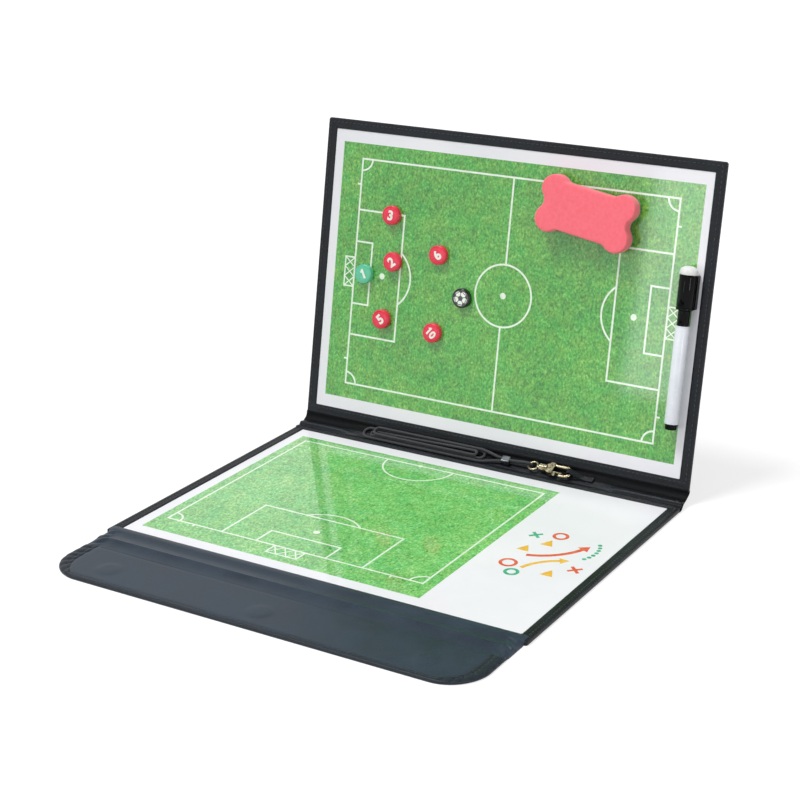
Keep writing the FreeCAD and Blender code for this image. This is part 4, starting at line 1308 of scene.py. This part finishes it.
def bone_ring(inset, height):
    """The eraser's outline: four lobes, a notch in each end and a drawn-in waist."""
    lobe = ERASER_LOBE - inset
    lobe_centre = Vector((ERASER_LENGTH / 2 - ERASER_LOBE, ERASER_BREADTH / 2 - ERASER_LOBE))
    notch_x = ERASER_LENGTH / 2 - ERASER_NOTCH - inset
    lead = notch_x - lobe_centre.x
    notch_round = (lead ** 2 + lobe_centre.y ** 2 - lobe ** 2) / (2 * (lobe - lead))
    notch_centre = Vector((notch_x + notch_round, 0))
    waist_round = ERASER_WAIST_ROUND + inset
    waist_level = ERASER_WAIST / 2 - inset + waist_round
    waist_x = lobe_centre.x - math.sqrt((lobe + waist_round) ** 2 - (waist_level - lobe_centre.y) ** 2)
    waist_centre = Vector((waist_x, waist_level))

    quarter = arc(notch_centre, notch_round, 180, heading(notch_centre, lobe_centre), NOTCH_STEPS)
    lobe_turn = (heading(lobe_centre, notch_centre), heading(lobe_centre, waist_centre))
    quarter += arc(lobe_centre, lobe, *lobe_turn, LOBE_STEPS)[1:]
    quarter += arc(waist_centre, waist_round, heading(waist_centre, lobe_centre), -90, WAIST_STEPS)[1:]
    side = quarter + [Vector((-point.x, point.y)) for point in reversed(quarter)]
    ring = side + [Vector((point.x, -point.y)) for point in reversed(side[1:-1])]
    return [Vector((*point, height)) * MM for point in ring]


def eraser():
    """The foam block with its crowned face, on its wiping felt."""
    place = seat("eraser_felt") @ Matrix.Rotation(math.radians(ERASER_TILT), 4, "Z")
    foam = loft([bone_ring(*stop) for stop in FOAM_PROFILE])
    block = add("eraser_block", foam, "foam", place, "eraser", "eraser_foam", "eraser_foam")
    felt = loft([bone_ring(*stop) for stop in WIPER_PROFILE])
    wiper = add("eraser_wiper", felt, "grey_felt", place, "eraser", "felt", "eraser_felt")
    dress("magnet", "eraser_magnet")


eraser()


# Marker pen in millimetres, with profiles as radius and height from the tail

def raised(level, *profile):
    """A profile counted from a level."""
    return [(radius, level + height) for radius, height in profile]


PEN_TAIL_SHOW = 4
PEN_BARREL_LENGTH = 66.7
BARREL_END = PEN_TAIL_SHOW + PEN_BARREL_LENGTH
NECK_END = BARREL_END + 10.5
CAP_START = NECK_END + 0.3
CAP_LENGTH = 23.5
CAP_END = CAP_START + CAP_LENGTH
CAP_BLOCK_HALF = 6.2
CAP_BLOCK_LENGTH = 22.6
CAP_BLOCK_INNER = 3.9
CAP_BLOCK_BEVEL = 0.4
CHEEK_LOW = 1.8
CHEEK_INNER = 4.6
CHEEK_FOOT = 3.4
BARREL_PROFILE = (
    raised(PEN_TAIL_SHOW, (3.9, 0), (4.5, 0), (4.72, 0.15), (4.8, 0.5))
    + raised(BARREL_END, (4.8, -1.4), (4.7, -1.2), (4.7, -0.9), (4.8, -0.7), (4.72, -0.2), (4.4, 0),
             (3.9, 0)))
TAIL_PROFILE = (
    (0, 0.25), (1.2, 0.2), (1.5, 0), (3.4, 0), (3.9, 0.25), (4.1, 0.8), (4.1, 3.8), (3.75, 4), (3.75, 9),
    (0, 9))
NECK_PROFILE = (
    raised(BARREL_END, (1.7, -5), (3.8, -5), (3.8, 0), (4.15, 0), (4.15, 1.2), (4.0, 1.5), (4.0, 2.1),
           (4.15, 2.4))
    + raised(NECK_END, (4.15, -0.2), (3.9, 0), (3.5, 0), (3.5, 5), (2.3, 10), (1.7, 10)))
CUP_PROFILE = (
    raised(CAP_START, (3.75, 0.3), (4.2, 0), (5.6, 0), (5.9, 0.3), (5.9, 1.6), (5.75, 1.8), (5.75, 2.2),
           (5.9, 2.4))
    + raised(CAP_END, (5.9, -0.9), (5.6, -0.2), (5.1, 0), (4.3, 0), (4.3, -2), (0, -2))
    + raised(CAP_START, (0, 18), (3.75, 18)))
CAP_FELT_PROFILE = raised(
    CAP_END, (0, -2), (4.2, -2), (4.2, 0.05), (5.9, 0.05), (6.3, 0.3), (6.4, 0.9), (6.2, 2.2), (5.5, 3.7),
    (4.2, 4.9), (2.4, 5.5), (0, 5.7))


def cap_block(board_side):
    """The block with the cap's magnet, from the cap to the board's side."""
    half = CAP_BLOCK_HALF
    inner = half - CAP_BLOCK_BEVEL
    right = [(inner, board_side), (half, board_side - CAP_BLOCK_BEVEL), (half, CHEEK_LOW),
             (CHEEK_INNER, CHEEK_LOW), (CHEEK_FOOT, CAP_BLOCK_INNER)]
    outline = right + [(-x, y) for x, y in reversed(right)]
    low = CAP_START + (CAP_LENGTH - CAP_BLOCK_LENGTH) / 2
    return loft([[Vector((*point, z)) * MM for point in outline] for z in (low, low + CAP_BLOCK_LENGTH)])


def pen():
    """Barrel, tail and neck of the pen, its cap with a magnet block, and the felt end."""
    middle = sheet_middle("pen_barrel")
    tail = Vector((middle.x, middle.y - (BARREL_END - PEN_BARREL_LENGTH / 2) * MM, middle.z))
    place = REAR @ Matrix.Translation(tail) @ Matrix.Rotation(math.radians(-90), 4, "X")
    barrel = lathe(BARREL_PROFILE, hollow=True)
    add("pen_tube", barrel, "pen_white", place, "pen", "pen_white", "pen_barrel")
    add("pen_tail", lathe(TAIL_PROFILE), "pen_black", place, "pen", "pen_black", "pen_tail_plug")
    neck = lathe(NECK_PROFILE, hollow=True)
    add("pen_collar", neck, "pen_black", place, "pen", "pen_black", "pen_neck")
    cap = merged((lathe(CUP_PROFILE), cap_block((middle.z - SHEET_TOP - MAGNET_LIFT) / MM)))
    add("pen_cap_shell", cap, "pen_black", place, "pen_cap", "pen_black", "pen_cap")
    wiper = add("pen_cap_wiper", lathe(CAP_FELT_PROFILE), "felt", place, "pen_cap", "felt", "pen_cap_felt")
    dress("felt", "pen_ink_core", "pen_nib")
    dress("magnet", "pen_cap_magnet")


pen()


# Lanyard: folded cord, loop, ferrule, swivel clasp and tab, in millimetres along the spine's gutter

CORD_RADIUS = 1 * MM
LANE_INNER = 2.0
LANE_OUTER = 4.5
LANE_LOW = 1.85
LANE_HIGH = 4.35
HANK_LEFT = -95
HANK_RIGHT = -2
HANK_STEP = 4
HANK_LEAD = 12
HANK_ENTRY = (3, -4)
# the hank's turns in order: place along the gutter, lanes before and after, rise and side
HANK_TURNS = (
    (HANK_LEFT, -LANE_OUTER, LANE_OUTER, LANE_LOW, -1),
    (HANK_RIGHT, LANE_OUTER, -LANE_INNER, LANE_LOW, 1),
    (HANK_LEFT + HANK_STEP, -LANE_INNER, LANE_INNER, LANE_LOW, -1),
    (HANK_RIGHT - HANK_STEP, LANE_INNER, -LANE_INNER, LANE_HIGH, 1),
    (HANK_LEFT + 2 * HANK_STEP, -LANE_INNER, LANE_OUTER, LANE_HIGH, -1))
CRIMP_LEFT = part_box("lanyard_crimp")[0].x / MM
CRIMP_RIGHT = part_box("lanyard_crimp")[1].x / MM
CRIMP_LANE = 1.25
CRIMP_RISE = 3.25
CRIMP_LEAD = 3
RING_CENTRE = joint_place("clasp_swivel").x / MM
RING_X = RING_CENTRE - 3.4
RING_RISE = 3.9
RING_BEND = 2.0
RING_LEAD = 4
BEND_POINTS = 8
BRAID_SIDES = 12
BRAID_PITCH = 2.2 * MM
BRAID_STRANDS = 3


def hank_end(lane, rise, side):
    """Points from the ferrule to one of the hank's outer lanes."""
    start = [(CRIMP_LEFT - lead, side * CRIMP_LANE, CRIMP_RISE) for lead in (0, CRIMP_LEAD)]
    return start + [(HANK_RIGHT + lead, side * lane, rise) for lead in HANK_ENTRY]


def hank_turn(x, start_lane, end_lane, rise, way):
    """Points of a half turn at one end of the hank, from lane to lane."""
    middle = (start_lane + end_lane) / 2
    radius = (start_lane - end_lane) / 2
    route = [(x - way * HANK_LEAD, start_lane, rise)]
    for step in range(BEND_POINTS):
        turn = math.pi * step / (BEND_POINTS - 1)
        route.append((x + way * abs(radius) * math.sin(turn), middle + radius * math.cos(turn), rise))
    return route + [(x - way * HANK_LEAD, end_lane, rise)]


def hank_route():
    """The folded cord: two loops on the strip, a climb along a run and one more loop on top."""
    route = hank_end(LANE_OUTER, LANE_LOW, -1)
    for turn in HANK_TURNS:
        route += hank_turn(*turn)
    return route + hank_end(LANE_OUTER, LANE_HIGH, 1)[::-1]


def loop_end(side):
    """Points from the ferrule to the swivel's ring, on the loop's lower or upper run."""
    level = CRIMP_RISE + side * CRIMP_LANE
    start = [(CRIMP_RIGHT + lead, 0, level) for lead in (0, CRIMP_LEAD)]
    return start + [(RING_X - RING_LEAD, 0, RING_RISE + side * RING_BEND)]


def loop_route():
    """The short loop from the ferrule through the swivel's ring and back."""
    ring = arc(Vector((RING_X, RING_RISE)), RING_BEND, -90, 90, BEND_POINTS - 1)
    return loop_end(-1) + [(point.x, 0, point.y) for point in ring] + loop_end(1)[::-1]


def smooth_line(route):
    """Points along the smooth spline whose control points are the route's."""
    item = guide("cord_line", "NURBS", [[LANYARD @ (Vector(point) * MM) for point in route]])
    item.data.resolution_u = 8
    spline = item.data.splines[0]
    spline.order_u = 3
    spline.use_endpoint_u = True
    return [vertex.co.copy() for vertex in taken(item).vertices]


def cord(name, route):
    """A braided round cord along a route, mapped along and around its tube."""
    line = smooth_line(route)
    turns = [2 * math.pi * step / BRAID_SIDES for step in range(BRAID_SIDES)]
    aside = Vector((0, 0, 1))
    rings = []
    travelled = [0.0]
    for point, ahead, before in zip(line, headings(line), line[:1] + line):
        aside = (aside - ahead * aside.dot(ahead)).normalized()
        beside = ahead.cross(aside)
        spokes = (aside * math.cos(turn) + beside * math.sin(turn) for turn in turns)
        rings.append([point + CORD_RADIUS * spoke for spoke in spokes])
        travelled.append(travelled[-1] + (point - before).length)
    item = piece(name, loft(rings), "cord")
    mesh = item.data
    layer = mesh.uv_layers.new(name="UVMap")
    for face in mesh.polygons:
        corners = [mesh.loops[index].vertex_index for index in face.loop_indices]
        columns = [corner % BRAID_SIDES for corner in corners]
        seam = max(columns) - min(columns) > 1
        for index, corner, column in zip(face.loop_indices, corners, columns):
            turned = column + (BRAID_SIDES if seam and column == 0 else 0)
            along = travelled[corner // BRAID_SIDES + 1] / BRAID_PITCH
            layer.data[index].uv = (along, BRAID_STRANDS * turned / BRAID_SIDES)
    return item, line


def lanyard():
    """Both cords with what hangs on them."""
    hank, line = cord("lanyard_hank", hank_route())
    settle(hank, "spine", "cord", "lanyard_cord")
    loop, line = cord("lanyard_short_loop", loop_route())
    settle(loop, "spine", "cord", "lanyard_loop")
    dress("chrome", "lanyard_crimp")
    dress("brass", "swivel_eye", "clasp_body", "clasp_trigger", "trigger_pin")


TAB_THICKNESS = 0.8
TAB_RISE = 0.47 * TAB_THICKNESS
TAB_EDGE = 0.4 * TAB_RISE
TAB_HALF = 1.9
TAB_BEVEL = 0.2
TAB_LOOP_X = RING_CENTRE + 29
TAB_LOOP_RADIUS = 2.8
TAB_SEAM_X = TAB_LOOP_X + 9
TAB_END_X = TAB_SEAM_X + 8
TAB_LOW = 1.1
TAB_UPPER = TAB_LOW + TAB_THICKNESS
TAB_ENDS = (
    (TAB_END_X, TAB_LOW), (TAB_SEAM_X, TAB_LOW), (TAB_SEAM_X, TAB_UPPER + 0.05), (TAB_END_X, TAB_UPPER))


def tab():
    """The narrow strap that loops round the clasp's hook and is sewn to the gutter."""
    ends = [Vector(point) for point in TAB_ENDS]
    loop = arc(Vector((TAB_LOOP_X, RING_RISE)), TAB_LOOP_RADIUS, -90, -270, 10)
    line = smooth_path(ends[:2] + loop + ends[2:], 3)
    upper = [(TAB_HALF, TAB_EDGE), (TAB_HALF - TAB_BEVEL, TAB_RISE),
             (TAB_BEVEL - TAB_HALF, TAB_RISE), (-TAB_HALF, TAB_EDGE)]
    outline = upper + [(y, -rise) for y, rise in reversed(upper)]
    rings = []
    for point, ahead in zip(line, headings(line)):
        rings.append([Vector((point.x - ahead.y * rise, y, point.y + ahead.x * rise)) * MM
                      for y, rise in outline])
    add("lanyard_strap", loft(rings), "skin", LANYARD, "spine", "skin", "lanyard_tab")


lanyard()
tab()


# Floor, light and camera

FLOOR_REACH = 8.0
FLOOR_GLOW = 0.66
SKY_LIGHT = 0.55
SKY_OVERHEAD = 0.3
SKY_FADE = (0.38, 0.75)
WHITE = (1, 1, 1, 1)
CAMERA_AZIMUTH = math.radians(31.364)
CAMERA_ELEVATION = math.radians(19.959)
CAMERA_ROLL = math.radians(-0.352)
CAMERA_PLACE = Vector((0.56829, -0.92664, 0.48161))
FOCAL_PIXELS = 1788.7
IMAGE_PIXELS = 800
SENSOR_WIDTH = 36


def floor():
    """A pale floor that shows white to the camera and keeps the object's shadow."""
    material, tree, shader = shading("floor", Roughness=0.9, Specular_IOR_Level=0.0)
    path = put(tree, "ShaderNodeLightPath").outputs
    seen = maths(tree, "MAXIMUM", path["Is Camera Ray"], path["Is Glossy Ray"])
    seen = maths(tree, "MAXIMUM", seen, path["Is Transmission Ray"])
    feed(tree, shader, {
        "Base Color": ramp(tree, noise(tree, 2.0, 2.0), (0.3, "a8a8a8"), (0.7, "acacac")),
        "Emission Color": WHITE, "Emission Strength": maths(tree, "MULTIPLY", seen, FLOOR_GLOW)})
    FINISH["floor"] = material
    reach = Vector((FLOOR_REACH, FLOOR_REACH))
    corners = [(*point, 0) for point in box_path(-reach, reach)]
    piece("floor", (corners, [(0, 1, 2, 3)]), "floor")


def world():
    """White surroundings, brighter to the eye than as light, and dimmer overhead in reflections."""
    sky = bpy.data.worlds.new("studio")
    sky.use_nodes = True
    bpy.context.scene.world = sky
    tree = sky.node_tree
    path = put(tree, "ShaderNodeLightPath").outputs
    direction = put(tree, "ShaderNodeTexCoord").outputs["Generated"]
    height = put(tree, "ShaderNodeSeparateXYZ", {"Vector": direction}).outputs["Z"]
    overhead = spread(tree, height, 1.0, SKY_OVERHEAD, *SKY_FADE)
    mirrored = maths(tree, "MAXIMUM", path["Is Glossy Ray"], path["Is Transmission Ray"])
    light = spread(tree, mirrored, SKY_LIGHT, overhead)
    strength = spread(tree, path["Is Camera Ray"], light, 1.0)
    feed(tree, tree.nodes["Background"], {"Color": WHITE, "Strength": strength})


def lamp(name, kind, place, target, **settings):
    """A light that shines from its place to its target."""
    data = bpy.data.lights.new(name, kind)
    for key, value in settings.items():
        setattr(data, key, value)
    item = show(name, data)
    item.location = place
    item.rotation_euler = (Vector(target) - Vector(place)).to_track_quat("-Z", "Y").to_euler()


def lights():
    """A broad key high on the left, a pale veil on the rear sheet's film and a streak on the pen."""
    lamp("key", "SUN", (-0.75, -0.85, 2.5), (0, 0, 0), energy=2.1, angle=math.radians(18))
    lamp("veil_panel", "AREA", (-0.37, -1.25, 0.31), (0.12, 0.15, 0.14),
         shape="RECTANGLE", size=0.2, size_y=0.55, energy=1.05)
    lamp("edge_panel", "AREA", (1.11, -0.54, 0.3), (0.13, 0.14, 0.15),
         shape="RECTANGLE", size=0.03, size_y=0.5, energy=2.2)


def camera():
    """The photograph's view."""
    level = Vector((math.cos(CAMERA_AZIMUTH), math.sin(CAMERA_AZIMUTH), 0))
    back = Vector((level.y, -level.x, 0)) * math.cos(CAMERA_ELEVATION)
    back.z = math.sin(CAMERA_ELEVATION)
    right = level * math.cos(CAMERA_ROLL) + back.cross(level) * math.sin(CAMERA_ROLL)
    data = bpy.data.cameras.new("camera")
    data.sensor_width = SENSOR_WIDTH
    data.lens = FOCAL_PIXELS * SENSOR_WIDTH / IMAGE_PIXELS
    item = show("camera", data)
    turned = Matrix((right, back.cross(right), back)).transposed().to_4x4()
    item.matrix_world = Matrix.Translation(CAMERA_PLACE) @ turned
    bpy.context.scene.camera = item


floor()
world()
lights()
camera()
bpy.context.scene.view_settings.view_transform = "Standard"
